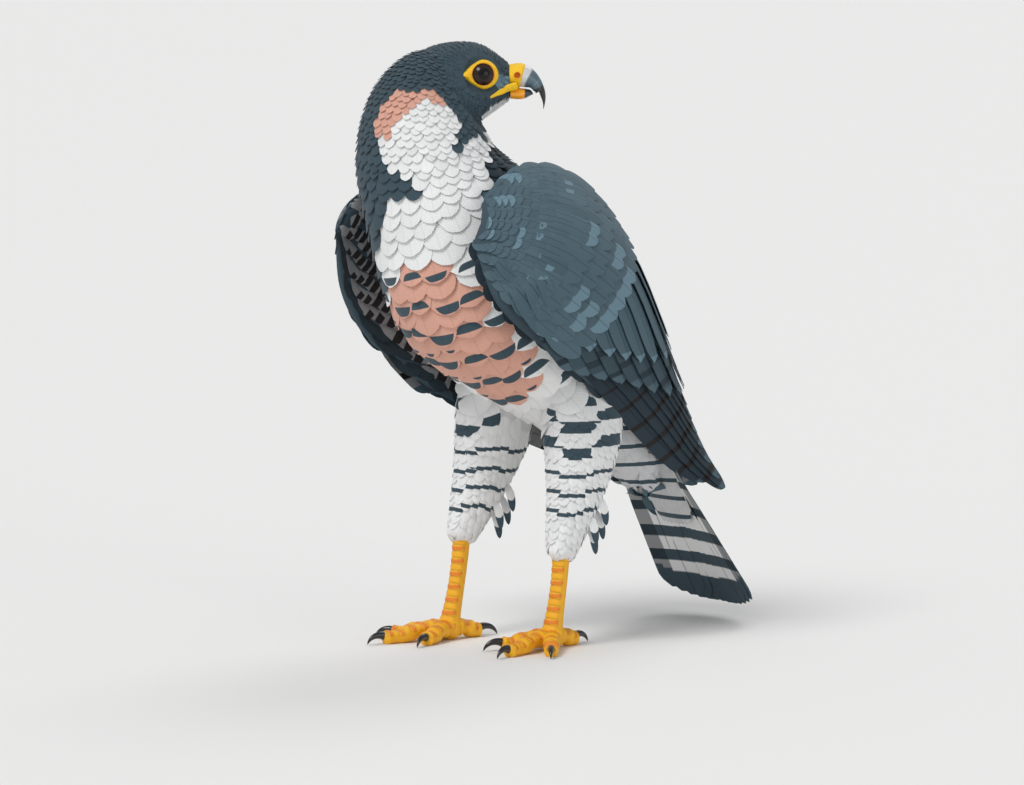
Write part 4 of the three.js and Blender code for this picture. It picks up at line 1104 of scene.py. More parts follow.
pair, side = (v.ravel().astype(float) for v in np.meshgrid(np.arange(6), (1, -1), indexing="ij"))
splay = side * np.radians(0.6 + TAIL_FAN * pair)
length = TAIL_LENGTH - 0.35 * pair**2
along = 14 + (length - 14)[:, None] * FLIGHT_ROWS
across = (side * (1.2 + 2.3 * pair))[:, None] + np.sin(splay)[:, None] * along
layer = (pair + 0.5 * (side > 0)) * TAIL_LAYER
above = 3.2 - layer[:, None] * (0.35 + 0.65 * np.minimum(FLIGHT_ROWS * 3, 1))
lines = tail_place(across, np.cos(splay)[:, None] * along, above)
roof = (side * 0.05 * pair)[:, None, None] * np.array([1.0, 0, 0])
normals = unit(np.broadcast_to(tail_dorsal + roof, lines.shape))
span = (length - 14)[:, None]


def tail_side(points):
    """How far towards the tail's sides a point lies, above 0 where its underside is grey."""
    offset = points - TAIL_ROOT
    return np.abs(offset[..., 0]) / (24 + 0.15 * (offset @ tail_along)) - PALE_SHARE


tail_quills = wear(
    "tail_quills",
    "tail_plumage",
    lines,
    normals,
    FLIGHT_ROWS,
    np.full(12, TAIL_HALF_WIDTH),
    rounded(FLIGHT_ROWS, 0.35, 0.1, 0.4),
    0.0,
    np.stack([0.5 + 0.08 * side * pair, np.full(12, 0.5)], axis=-1),
    {
        "ground": np.tile(SLATE, (12, 1)),
        "mark": np.tile(HOOD, (12, 1)),
        "under": np.tile(WHITE, (12, 1)),
        "under_mark": np.tile(HOOD, (12, 1)),
        "tip": np.column_stack([np.tile(HOOD, (12, 1)), 1 - TAIL_BAND / span]),
        "bars": np.column_stack([TAIL_BARS[0] / span, np.tile([TAIL_BARS[1], 0.1, 0], (12, 1))]),
    },
    quill_keratin,
    columns=9,
    both_faces=True,
    camber=0.5,
    thickness=0.5,
    zone=tail_side,
)
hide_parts("tail")

COVERT_LENGTH = 26


def covert_place(along, turn, face):
    """A point over the roots of the tail: along it, turn from side to side, above or below it."""
    width = np.interp(along, [-14, 24, 62, 95], [25.5, 23, 21, 18])
    depth = np.interp(along, [-14, 6, 24, 44, 62, 95], [24, 21.5, 15.5, 9.5, 6, 4])
    lift = np.sqrt(np.clip(1 - np.abs(turn) ** 2.3, 0, 1))
    return tail_place(turn * width, along, face * (depth * lift - 1))


spots = []
for k, start in enumerate(np.arange(-14, 70, 6.5)):
    for face in (-1, 1):
        for turn in np.linspace(-0.94, 0.94, 7) + (0.14 if k % 2 else -0.02):
            narrow = np.interp(start, [0, 50], [0.86, 0.62]) if face < 0 else 1
            spots.append((start, turn * narrow, face))
start, turn, face = np.array(spots)[np.abs(np.array(spots)[:, 1]) < 1].T
count = len(start)
turn = turn + chance.normal(0, 0.015, count)
reach = start[:, None] + COVERT_LENGTH * LONG_ROWS
lines = covert_place(reach, turn[:, None], face[:, None])
ahead = covert_place(reach + 1, turn[:, None], face[:, None]) - lines
beside = covert_place(reach, (turn + 0.03)[:, None], face[:, None]) - lines
normals = unit(np.cross(ahead, beside))
normals *= np.sign((normals @ tail_dorsal) * face[:, None] + 1e-6)[..., None]
roots = lines[:, 0]
dorsal = face > 0
# The undertail coverts' white is greyed by painted shade; the uppertail coverts are slate.
colours = np.where(dorsal[:, None], SLATE, SHADED_WHITE) * chance.normal(1, 0.03, (count, 1))
places = np.stack([0.5 + 0.3 * turn * face, (start + 14) / 110], axis=-1)
worn.append((roots, colours))
looks = contour_looks(colours, mark=np.tile(HOOD, (count, 1)))
for name, chosen, material in [
    ("uppertail_coverts", dorsal, slate_feather),
    ("undertail_coverts", ~dorsal, down_feather),
]:
    wear(
        name,
        "tail_plumage",
        lines[chosen],
        normals[chosen],
        LONG_ROWS,
        np.full(chosen.sum(), 6.8),
        rounded(LONG_ROWS, 0.4, 0.42, 0.12),
        -1.2 + 2.4 * LONG_ROWS,
        places[chosen],
        {look: values[chosen] for look, values in looks.items()},
        material,
        camber=0.9,
        thickness=0.35,
        ragged=0.02,
        zone=level_bars,
    )


# Wings
# Each folded wing is a thin body that carries three tiers of quills, the greater coverts over their
# roots, and rows of smaller coverts up to the wrist. The right wing hangs a little away from the bird
# and shows its grey barred lining.
# Each row holds the lower edge's x, y and z, the upper edge's, the outward bulge and the thickness.
WING_ROWS = [
    [57, -69, 266, 50, -56, 289, 5, 9],
    [66, -62, 234, 43, -17, 310, 15, 13],
    [69, -44, 213, 33, 34, 298, 23, 14],
    [66, -6, 188, 22, 77, 262, 26, 12],
    [57, 42, 160, 15, 106, 216, 21, 9],
    [45, 88, 131, 13, 131, 174, 14, 7],
    [31, 134, 106, 13, 158, 132, 6, 5],
    [17, 183, 86, 14, 187, 90, 1, 2],
]
RIGHT_WING_OUT = 15
RIGHT_WING_AHEAD = 8
RIGHT_WING_DOWN = 27
WING_BODY_END = 0.62
WING_BODY_SINK = 5.4
ROOT_SINK = 2.2
WING_SURFACE = 300  # about, from the wrist to the tip
wing_row = smooth_rows(WING_ROWS)


def wing_point(s, t, lift):
    """A point of the left wing's outer face, s from wrist to tip and t from lower to upper edge."""
    s, t = np.broadcast_arrays(np.asarray(s, float), np.asarray(t, float))
    row = wing_row(s)
    ends = wing_row(np.minimum(s + 0.01, 1)) - wing_row(np.maximum(s - 0.01, 0))
    lower, upper = row[..., :3], row[..., 3:6]
    outward = unit(np.cross(ends[..., :3] + ends[..., 3:6], upper - lower))
    outward *= np.where(outward[..., :1] < 0, -1, 1)
    bulge = row[..., 6] * 4 * t * (1 - t)
    point = lower + (upper - lower) * t[..., None] + outward * bulge[..., None]
    last = np.array(WING_ROWS[-1][:3], float) - WING_ROWS[-2][:3]
    point += np.maximum(s - 1, 0)[..., None] * last * (len(WING_ROWS) - 1)
    share = lift * np.maximum(1 - s, 0) ** 1.3
    point[..., 0] += share * RIGHT_WING_OUT * (1 + 0.25 * t)
    point[..., 1] -= share * RIGHT_WING_AHEAD * (1 - 0.5 * t)
    point[..., 2] -= lift * RIGHT_WING_DOWN * (1 - t) * np.sin(math.pi * np.minimum(s, 1)) ** 2
    return point


def wing_normal(s, t, lift):
    s, t = np.broadcast_arrays(np.asarray(s, float), np.asarray(t, float))
    d = 0.01
    along = wing_point(np.minimum(s + d, 1), t, lift) - wing_point(np.maximum(s - d, 0), t, lift)
    across = wing_point(s, t + d, lift) - wing_point(s, t - d, lift)
    normal = unit(np.cross(along, across))
    return normal * np.where(normal[..., :1] < 0, -1, 1)


def wing_depth(s, t):
    """How far the wing's body reaches in from its outer face, and how far its own face is sunk."""
    s, t = np.broadcast_arrays(np.asarray(s, float), np.asarray(t, float))
    edge = 0.22 + 0.78 * np.sqrt(np.clip(1 - np.abs(2 * t - 1) ** 3, 0, 1))
    front = 0.35 + 0.65 * np.minimum(s / 0.12, 1) ** 0.6
    rear = 1 - 0.45 * (s / WING_BODY_END) ** 3
    sink = WING_BODY_SINK * smooth_step(s, 0.16, 0.5)
    return np.maximum(wing_row(s)[..., 7] * edge * front * rear, sink + 1.4), sink


def tier(count, last, root, tip, height, width, lean, shape):
    """Feathers of one kind, numbered from 0 to last. A root, tip or height is given as the first
    feather's and the change to the next number, and tips can lie on a curve instead."""
    number = np.linspace(0, last, count)
    steps = lambda first, change: np.array([np.add(first, np.multiply(change, k)) for k in number])
    return {
        "root": steps(*root),
        "tip": np.array([tip(k / last) for k in number]) if callable(tip) else steps(*tip),
        "height": steps(*height),
        "width": np.full(count, float(width)),
        "lean": lean,
        "outline": rounded(FLIGHT_ROWS, 0.3, *shape),
    }


primary_tips = smooth_rows([
    (0.935, 0.02), (1, 0.35), (0.97, 0.5), (0.92, 0.6), (0.875, 0.66), (0.83, 0.71), (0.79, 0.75),
    (0.75, 0.78),
])
secondary_tips = smooth_rows([
    (0.46, 0.03), (0.503, 0.06), (0.547, 0.12), (0.598, 0.2), (0.65, 0.31), (0.705, 0.5), (0.73, 0.72),
])
greater_tips = smooth_rows([
    (0.355, 0.07), (0.4, 0.09), (0.44, 0.13), (0.495, 0.2), (0.54, 0.28), (0.585, 0.4), (0.62, 0.6),
    (0.62, 0.8),
])
# Each tier, then its colours: ground, bars, tip, underside and the bars there. The last three numbers
# are the bars' pitch in millimetres, their share of it, and the length of the pale tip.
QUILLS = [
    (  # the hand's long quills
        tier(
            10, 7, root=((0.4, 0.07), (0, 0.05)), tip=primary_tips, height=(-4.6, 0.68),
            width=8.5, lean=0.7, shape=(0.3, 0.1),
        ),
        (DEEP_SLATE, BLACK_BAR, SLATE, MID_GREY, BLACK_BAR),
        (22, 0.24, 9),
    ),
    (  # the arm's quills
        tier(
            9, 6, root=((0.3, 0.09), (0, 0.1)), tip=secondary_tips, height=(2, 0),
            width=9.4, lean=1.2, shape=(0.2, 0.4),
        ),
        (HOOD, DEEP_SLATE, SLATE, MID_GREY, BLACK_BAR),
        (21, 0.26, 6),
    ),
    (  # the short ones next to the body
        tier(
            4, 2, root=((0.3, 0.78), (0, 0.06)), tip=((0.74, 0.82), (-0.06, 0.05)), height=(2.6, 0.5),
            width=9.5, lean=0, shape=(0.3, 0.45),
        ),
        (HOOD, DEEP_SLATE, SLATE, MID_GREY, BLACK_BAR),
        (24, 0.22, 5),
    ),
]
TIERED_COVERTS = [
    (  # over the hand's quills
        tier(
            6, 2, root=((0.22, 0.11), (0, 0.03)), tip=((0.5, 0.09), (-0.03, 0.03)), height=(-2.2, 0.75),
            width=5.4, lean=0.6, shape=(0.25, 0.4),
        ),
        (DEEP_SLATE, BLACK_BAR, HOOD, MID_GREY, BLACK_BAR),
        (40, 0.0, 4),
    ),
    (  # over the arm's quills
        tier(
            11, 7, root=((0.17, 0.13), (0.02, 0.105)), tip=greater_tips, height=(4.7, 0),
            width=8.6, lean=1.2, shape=(0.25, 0.45),
        ),
        (SLATE, HOOD, PALE_SLATE, MID_GREY, BLACK_BAR),
        (60, 0.0, 3.5),
    ),
    (  # the thumb's
        tier(
            3, 2, root=((0.09, 0.1), (0, 0.03)), tip=((0.31, 0.09), (-0.05, 0.04)), height=(0.4, 0.6),
            width=4.8, lean=0.5, shape=(0.3, 0.3),
        ),
        (SLATE, HOOD, SLATE, MID_GREY, BLACK_BAR),
        (60, 0.0, 4),
    ),
]


def wing_lines(feathers, lift, side):
    """Lines, normals and heights of a tier's feathers on the left or the mirrored right wing."""
    s = feathers["root"][:, :1] + (feathers["tip"] - feathers["root"])[:, :1] * FLIGHT_ROWS
    t = feathers["root"][:, 1:] + (feathers["tip"] - feathers["root"])[:, 1:] * FLIGHT_ROWS
    sink = WING_BODY_SINK * smooth_step(feathers["root"][:, :1], 0.16, 0.5) + ROOT_SINK
    rise = -sink + (feathers["height"][:, None] + sink) * np.minimum(FLIGHT_ROWS * 5, 1)
    mirror = np.array([side, 1, 1])
    return wing_point(s, t, lift) * mirror, wing_normal(np.minimum(s, 0.97), t, lift) * mirror, rise


def quill_looks(feathers, lines, colours, bars, side):
    ground, mark, tip, under, under_mark = (np.tile(c, (len(lines), 1)) for c in colours)
    length = np.linalg.norm(np.diff(lines, axis=1), axis=2).sum(axis=1)
    pitch, thickness, tip_length = bars
    ground = ground * chance.normal(1, 0.05, (len(lines), 1))
    return {
        "ground": ground,
        "mark": mark,
        "under": under,
        "under_mark": under_mark,
        "tip": np.column_stack([tip, 1 - tip_length / length]),
        "bars": np.column_stack(
            [pitch / length, np.full(len(lines), thickness), np.full(len(lines), 0.3), side * 5 / length]
        ),
    }


COVERT_END = 0.4
LESSER_SPACING = 5.2
LINING_SPACING = 8.5
MEDIAN_SPACING = 12.5
COVERT_REACH = 2.7  # a covert's length, in gaps between rows
# Coverts with broad pale tips, by their tips' places on the wing
PALE_TIPS = [
    (0.11, 0.97), (0.105, 0.77), (0.07, 0.73), (0.258, 0.85), (0.04, 0.38), (0.195, 0.53), (0.152, 0.41),
    (0.325, 0.6), (0.388, 0.62), (0.258, 0.32), (0.233, 0.19), (0.362, 0.29), (0.448, 0.48), (0.44, 0.27),
    (0.24, 0.35), (0.385, 0.25), (0.425, 0.52),
]


def covert_rows(lift, side, spacing, end, face, low, high):
    """Rows of small feathers over one face of a wing, with their lines, normals, sizes and places."""
    spots = []
    s = 0.0
    k = 0
    while s < end:
        gap = spacing(s)
        t = np.linspace(0, 1, 60)
        edge = np.linalg.norm(np.diff(wing_point(s, t, lift), axis=0), axis=1).sum()
        count = max(int(edge / (gap * 1.15)), 4)
        for i in range(count + 1):
            spots.append((s, low + (high - low) * (i + 0.5 * (k % 2)) / (count + 0.5), gap))
        s += gap / WING_SURFACE
        k += 1
    s, t, gap = np.array(spots).T
    t = t + chance.normal(0, 0.006, len(t))
    reach = COVERT_REACH * gap / WING_SURFACE
    along = s[:, None] + reach[:, None] * LONG_ROWS
    level = np.repeat(t[:, None], len(LONG_ROWS), axis=1)
    depth, _ = wing_depth(along, np.clip(level, 0, 1))
    points = wing_point(along, level, lift)
    normals = wing_normal(along, level, lift)
    if face < 0:
        points = points - normals * depth[..., None]
        normals = -normals
    mirror = np.array([side, 1, 1])
    return points * mirror, normals * mirror, gap, np.stack([s, t], axis=-1)


def paint(piece, colours, look="colour"):
    """Gives a piece a colour at each point, as one of its looks."""
    shades = np.ones((len(piece.data.vertices), 4))
    shades[:, :3] = colours
    piece.data.attributes.new(look, "FLOAT_COLOR", "POINT").data.foreach_set("color", shades.ravel())


for name, side, lift in (("left", 1, 0), ("right", -1, 1)):
    stations, edge = np.meshgrid(np.linspace(0, WING_BODY_END, 40), np.linspace(0, 1, 24), indexing="ij")
    depth, sink = wing_depth(stations, edge)
    normal = wing_normal(stations, np.clip(edge, 0.02, 0.98), lift)
    face = wing_point(stations, edge, lift)
    inner_face = (face - normal * depth[..., None])[:, ::-1]
    rings = np.concatenate([face - normal * sink[..., None], inner_face], axis=1) * (side, 1, 1)
    body = new_piece(f"wing_{name}_body", *loft(rings[:, ::side]))
    fasten(body, "wing_plumage", f"wing_{name}")
    shades = np.tile(HOOD, (len(body.data.vertices), 1))
    # The inner face is grey between its dark edges.
    place = np.arange(rings.shape[1])
    inner = np.tile((place >= 31) & (place < 43), len(rings))
    shades[: len(inner)][inner] = MID_GREY
    paint(body, shades, "ground")
    for kind, tiers in (("quills", QUILLS), ("greater_coverts", TIERED_COVERTS)):
        for n, (feathers, colours, bars) in enumerate(tiers):
            lines, normals, rise = wing_lines(feathers, lift, side)
            wear(
                f"wing_{name}_{kind}_{n + 1}",
                "wing_plumage",
                lines,
                normals,
                FLIGHT_ROWS,
                feathers["width"],
                feathers["outline"],
                rise,
                feathers["root"],
                quill_looks(feathers, lines, colours, bars, side),
                quill_keratin,
                columns=7,
                both_faces=True,
                camber=0.6,
                lean=feathers["lean"] * side,
                thickness=0.45,
            )
    grow = lambda s: np.interp(s, [0, 0.12, COVERT_END], [LESSER_SPACING, 6.5, MEDIAN_SPACING])
    lines, normals, gap, places = covert_rows(lift, side, grow, end=0.37, face=1, low=0.07, high=0.97)
    count = len(gap)
    cover = 0.3 + 5.4 * smooth_step(places[:, 0], 0.08, 0.26)
    rise = cover[:, None] - 1.6 + 2.6 * LONG_ROWS
    colours = np.array(SLATE) * chance.normal(1, 0.05, (count, 1))
    tip = np.column_stack([np.tile(np.array(SLATE) * 1.12, (count, 1)), np.full(count, 0.97)])
    ends = places.copy()
    ends[:, 0] += COVERT_REACH * gap / WING_SURFACE
    for place in PALE_TIPS:
        near = np.hypot(*((ends - place) * (1.0, 0.33)).T)
        tip[np.argsort(near)[:2]] = [*PALE_SLATE, 0.72]
    wear(
        f"wing_{name}_coverts",
        "wing_plumage",
        lines,
        normals,
        LONG_ROWS,
        gap * 0.92 * np.interp(places[:, 1], [0.07, 0.2], [0.75, 1]),
        rounded(LONG_ROWS, 0.45, 0.42, 0.12),
        rise,
        places,
        contour_looks(colours, tip=tip),
        slate_feather,
        camber=0.12 * gap,
        lean=0.5 * side,
        thickness=0.35,
        ragged=0.015,
    )
    level = lambda s: LINING_SPACING
    lines, normals, gap, places = covert_rows(lift, side, level, end=0.55, face=-1, low=0.03, high=0.86)
    count = len(gap)
    low_edge = places[:, 1] < 0.06
    colours = np.where(low_edge[:, None], DEEP_SLATE, MID_GREY) * chance.normal(1, 0.04, (count, 1))
    band = np.tile([0.66, 0.9, 0.02, 0.06], (count, 1))
    band[low_edge] = NO_BAR
    wear(
        f"wing_{name}_lining",
        "wing_plumage",
        lines,
        normals,
        LONG_ROWS,
        gap * 0.8,
        rounded(LONG_ROWS, 0.45, 0.42, 0.12),
        -0.8 + 1.9 * LONG_ROWS,
        places,
        contour_looks(colours, mark=np.tile(BLACK_BAR, (count, 1)), band=band),
        down_feather,
        camber=0.8,
        thickness=0.3,
    )


# Eyes
# Large dark eyes, each a clear wet ball in its socket: a near-black iris round the pupil, behind a
# cornea that stands out a little.
EYE_COLOUR = "#1a1210"
IRIS_COLOUR = "#2c1b14"
PUPIL_RADIUS = 3.6
IRIS_RADIUS = 6.5
CORNEA_RADIUS = 7.2
CORNEA_RISE = 0.7

# Cornea and iris: dark brown tissue under a clear wet film, so a tight bright highlight sits on it.
wet_eye, tree, surface = new_material(
    "wet_dark_eye", roughness=0.3, specular_ior_level=0.1, coat_weight=0.45, coat_roughness=0.03
)
place = add_node(tree, "ShaderNodeAttribute", attribute_name="place")
reach = add_node(tree, "ShaderNodeSeparateXYZ", {"Vector": place.outputs["Vector"]}).outputs["X"]
black, brown = (0.002, 0.002, 0.002, 1), (*linear(IRIS_COLOUR), 1)
iris = switch(tree, reach, PUPIL_RADIUS - 0.2, PUPIL_RADIUS + 0.3, black, brown)
whole = switch(tree, reach, IRIS_RADIUS - 0.5, IRIS_RADIUS + 0.5, iris, (*linear(EYE_COLOUR), 1))
tree.links.new(whole, surface.inputs["Base Color"])

for name, side in (("left", 1), ("right", -1)):
    centre, gaze = eye_line(side)
    sideways = unit(np.cross(gaze, [0.0, 0.0, 1.0]))
    upward = np.cross(sideways, gaze)
    polar = np.linspace(0.02, math.pi - 0.02, 56)[:, None]
    round_ = np.linspace(0, 2 * math.pi, 72, endpoint=False)[None, :]
    reach = np.repeat(EYE_RADIUS * np.sin(polar), round_.size, axis=1)
    bulge = CORNEA_RISE * np.clip(1 - (reach / CORNEA_RADIUS) ** 2, 0, 1) * (polar < math.pi / 2)
    depth = EYE_RADIUS * np.cos(polar) + bulge
    rings = (
        centre
        + (reach * np.cos(round_))[..., None] * sideways
        + (reach * np.sin(round_))[..., None] * upward
        + depth[..., None] * gaze
    )
    ball = new_piece(f"eye_ball_{name}", *loft(rings[:, ::-1]), wet_eye)
    places = np.zeros((len(ball.data.vertices), 3))
    places[: reach.size, 0] = reach[:, ::-1].ravel()
    places[-1, 0] = 0
    ball.data.attributes.new("place", "FLOAT_VECTOR", "POINT").data.foreach_set("vector", places.ravel())
    fasten(ball, "eye", f"eye_{name}")


# Eye rings
# Bare waxy skin round each eye, drawn out to a point behind it: an orange lid margin, then a yellow
# ring of small soft grains that meets the feathers.
LID_MARGIN = 6.9
RING_SIZES = (10.6, 9.4, 13.2)  # forwards, up and down, and back to the point
RING_THICKNESS = 1.5
YELLOW = linear("#ffcb0a")
ORANGE = linear("#faa51a")


# Bare skin: waxy and slightly translucent, with a fine pebbled grain under a satin gloss. Its grains
# are 0.6 mm across on the face and 1.1 mm on the feet.
def bare_skin_material(name, grain_size, roughness):
    material, tree, surface = new_material(
        name, roughness=roughness, subsurface_weight=0.12, subsurface_scale=0.0015
    )
    colour = add_node(tree, "ShaderNodeAttribute", attribute_name="colour")
    mottle = add_node(tree, "ShaderNodeTexNoise", {"Scale": 260.0, "Detail": 3.0})
    value = add_node(
        tree, "ShaderNodeMapRange", {"Value": mottle.outputs["Fac"], "To Min": 0.86, "To Max": 1.1}
    )
    toned = add_node(
        tree, "ShaderNodeHueSaturation", {"Value": value.outputs[0], "Color": colour.outputs["Color"]}
    )
    tree.links.new(toned.outputs["Color"], surface.inputs["Base Color"])
    grains = add_node(tree, "ShaderNodeTexVoronoi", {"Scale": 1 / (grain_size * MM)})
    relief = add_node(
        tree, "ShaderNodeBump", {"Height": grains.outputs["Distance"], "Strength": 0.35, "Distance": 0.0003}
    )
    relief.invert = True
    tree.links.new(relief.outputs["Normal"], surface.inputs["Normal"])
    return material


def hoop(rings):
    """Points and faces of a closed ring of closed sections."""
    count, sides = rings.shape[:2]
    ring, side = np.arange(count)[:, None], np.arange(sides)[None, :]
    after, beyond = (ring + 1) % count * sides, (side + 1) % sides
    corners = np.stack([ring * sides + side, ring * sides + beyond, after + beyond, after + side], axis=-1)
    return rings.reshape(-1, 3), corners.reshape(-1, 4).tolist()


facial_skin = bare_skin_material("waxy_facial_skin", 0.6, 0.42)
for name, side in (("left", 1), ("right", -1)):
    centre, gaze = eye_line(side)
    forward = unit(head_axes[:, 0] - (head_axes[:, 0] @ gaze) * gaze)
    upward = unit(np.cross(gaze, forward)) * side
    turn = np.linspace(0, 2 * math.pi, 96, endpoint=False)
    ahead, up = np.cos(turn), np.sin(turn)
    front, tall, back = RING_SIZES
    outer = np.where(
        ahead > 0,
        1 / np.sqrt((ahead / front) ** 2 + (up / tall) ** 2),
        1 / ((np.abs(ahead) / back) ** 1.25 + (np.abs(up) / tall) ** 1.25) ** 0.8,
    )
    radial = ahead[:, None] * forward + up[:, None] * upward
    edge = np.empty(len(turn))
    for i in range(len(turn)):
        start = centre + radial[i] * outer[i] + gaze * 30
        hit = skin_tree.ray_cast(Vector((start + MIDDLE) * MM), Vector(-gaze))[3]
        edge[i] = 30 - hit / MM
    edge = (np.roll(edge, 1) + edge + np.roll(edge, -1)) / 3
    profile = np.array([0, 0.04, 0.12, 0.2, 0.26, 0.34, 0.5, 0.68, 0.84, 1.0])
    swell = np.array([0, 0.55, 0.8, 0.6, 0.35, 0.6, 0.75, 0.7, 0.5, 0.1])
    lid = math.sqrt(EYE_RADIUS**2 - LID_MARGIN**2)
    radius = LID_MARGIN + (outer[:, None] - LID_MARGIN) * profile
    height = lid + (edge[:, None] - lid) * profile**1.2 + swell
    top = centre + radial[:, None] * radius[..., None] + gaze * height[..., None]
    low = centre + radial[:, None] * radius[..., None] + gaze * (height - RING_THICKNESS)[..., None]
    sections = np.concatenate([top, low[:, ::-1]], axis=1)
    ring = new_piece(f"eye_ring_{name}", *hoop(sections if side < 0 else sections[:, ::-1]), facial_skin)
    share = np.concatenate([profile, profile[::-1]])
    share = share if side < 0 else share[::-1]
    orange = 1 - smooth_step(np.tile(share, len(turn)), 0.2, 0.34)
    paint(ring, YELLOW + orange[:, None] * (np.array(ORANGE) - YELLOW))
    fasten(ring, "bare_skin", f"eyelid_{name}")


# Bill
# A hooked upper bill of horn with a tooth behind the hook, over a short trough of a lower bill. It is
# pale beside the cere, blue-grey in the middle and black at the tip.
# Each row holds x' and z' of the ridge, x' and z' of the cutting edge, and the half width.
UPPER_BILL = smooth_rows(
    [
        [BILL_BASE, 9.2, BILL_BASE, -3.2, 8],
        [35, 9.6, 34.6, -3.9, 7.7],
        [39.5, 8.4, 38, -4.4, 6.7],
        [43.8, 5.2, 41, -4.9, 5.6],
        [47.2, 0.2, 43.2, -7, 4.4],
        [49.3, -5.4, 45, -6.6, 3.4],
        [49.9, -10, 46.8, -10.2, 2.2],
        [49.4, -14, 47.9, -13.8, 1.2],
        [48.4, -17.4, 48, -17.2, 0.3],
    ]
)
LOWER_BILL = smooth_rows(
    [
        [BILL_BASE - 1.5, -4, BILL_BASE - 1.5, -11, 7.3],
        [35, -4.6, 34.8, -11.4, 6.4],
        [38.5, -5.1, 38, -10.9, 5.2],
        [41.2, -5.9, 40.6, -9.6, 3.6],
        [42.6, -8, 42.2, -8.9, 1.2],
    ]
)
HORN_RIDGE, HORN_EDGE = 0.22, 0.13  # where the cere gives way to horn, on the ridge and on the edge
HORN_PALE = linear("#cdced0")
HORN_GREY = linear("#4f6570")
HORN_BLACK = linear("#1d1b1c")
LOWER_HORN = linear("#263840")


def bill_rings(rows, ridge, edge, sides, grow=0.0, pinch=0.0, tooth=0.0):
    """Rings round a bill, through ridge points and edge points read at their own shares."""
    top, low = rows(ridge), rows(edge)
    width = (top[:, 4] + low[:, 4]) / 2
    ridge_at, edge_at = top[:, :2], low[:, 2:4].copy()
    notch = 0.5 * np.exp(-(((edge - 0.66) / 0.04) ** 2))
    edge_at[:, 1] -= tooth * (np.exp(-(((edge - 0.57) / 0.035) ** 2)) - notch)
    middle, up = (ridge_at + edge_at) / 2, (ridge_at - edge_at) / 2
    tall = np.linalg.norm(up, axis=1, keepdims=True)
    up = up * (tall + np.reshape(grow, (-1, 1))) / tall
    across, high = oval(np.linspace(0, 2 * math.pi, sides, endpoint=False), 2.2)
    wide = (width + grow)[:, None] * across * (1 - pinch * np.clip(high, 0, 1))
    flat = middle[:, None] + high[:, None] * up[:, None]
    return np.stack([flat[..., 0], wide, flat[..., 1]], axis=-1), high


# Horn: keratin like a fingernail, polished by use, with a faint uneven grain about 1 mm across.
def horn_material(name, roughness, grain_size):
    material, tree, surface = new_material(
        name, roughness=roughness, coat_weight=0.35, coat_roughness=0.15
    )
    colour = add_node(tree, "ShaderNodeAttribute", attribute_name="colour")
    grain = add_node(
        tree, "ShaderNodeTexNoise", {"Scale": 1 / (grain_size * MM), "Detail": 4.0, "Roughness": 0.6}
    )
    value = add_node(
        tree, "ShaderNodeMapRange", {"Value": grain.outputs["Fac"], "To Min": 0.8, "To Max": 1.2}
    )
    toned = add_node(
        tree, "ShaderNodeHueSaturation", {"Value": value.outputs[0], "Color": colour.outputs["Color"]}
    )
    tree.links.new(toned.outputs["Color"], surface.inputs["Base Color"])
    relief = add_node(
        tree, "ShaderNodeBump", {"Height": grain.outputs["Fac"], "Strength": 0.15, "Distance": 0.0003}
    )
    tree.links.new(relief.outputs["Normal"], surface.inputs["Normal"])
    return material


bill_horn = horn_material("bill_horn", 0.28, 1.0)
share = np.linspace(0, 1, 70)
ridge, edge = HORN_RIDGE + (1 - HORN_RIDGE) * share, HORN_EDGE + (1 - HORN_EDGE) * share
rings, _ = bill_rings(UPPER_BILL, ridge, edge, 56, grow=-0.1, pinch=0.18, tooth=1.5)
upper_bill = new_piece("upper_bill", *loft(in_head(rings)), bill_horn)
place = np.concatenate([np.repeat(share, 56), [0, 1]])
wave = 0.02 * np.sin(np.tile(np.linspace(0, 4 * math.pi, 56, endpoint=False), 70))
place[: len(wave)] += wave
colours = np.array(HORN_PALE) + smooth_step(place, 0.11, 0.15)[:, None] * (np.array(HORN_GREY) - HORN_PALE)
colours += smooth_step(place, 0.4, 0.46)[:, None] * (np.array(HORN_BLACK) - HORN_GREY)
pale_line = np.exp(-(((place - 0.33) / 0.018) ** 2))[:, None] * 0.5
colours += pale_line * (np.array(PALE_SLATE) - colours)
paint(upper_bill, colours)
fasten(upper_bill, "bill_horn", "bill_upper")

share = np.linspace(0, 1, 40)
rings, _ = bill_rings(LOWER_BILL, share, share, 48, grow=-0.15)
lower_bill = new_piece("lower_bill", *loft(in_head(rings)), bill_horn)
place = np.concatenate([np.repeat(share, 48), [0, 1]])
dark = smooth_step(place, 0.42, 0.5)[:, None]
paint(lower_bill, np.array(ORANGE) + dark * (np.array(LOWER_HORN) - ORANGE))
fasten(lower_bill, "bill_horn", "bill_lower")


# Cere
# Bare swollen skin over the root of the upper bill, with a round nostril and the cone inside it on
# each side, and a fold that runs back along the corner of the mouth.
NOSTRIL_AT = (34, 7.2, 3.2)
NOSTRIL_RADIUS = 1.7
GAPE_BACK = 15.5

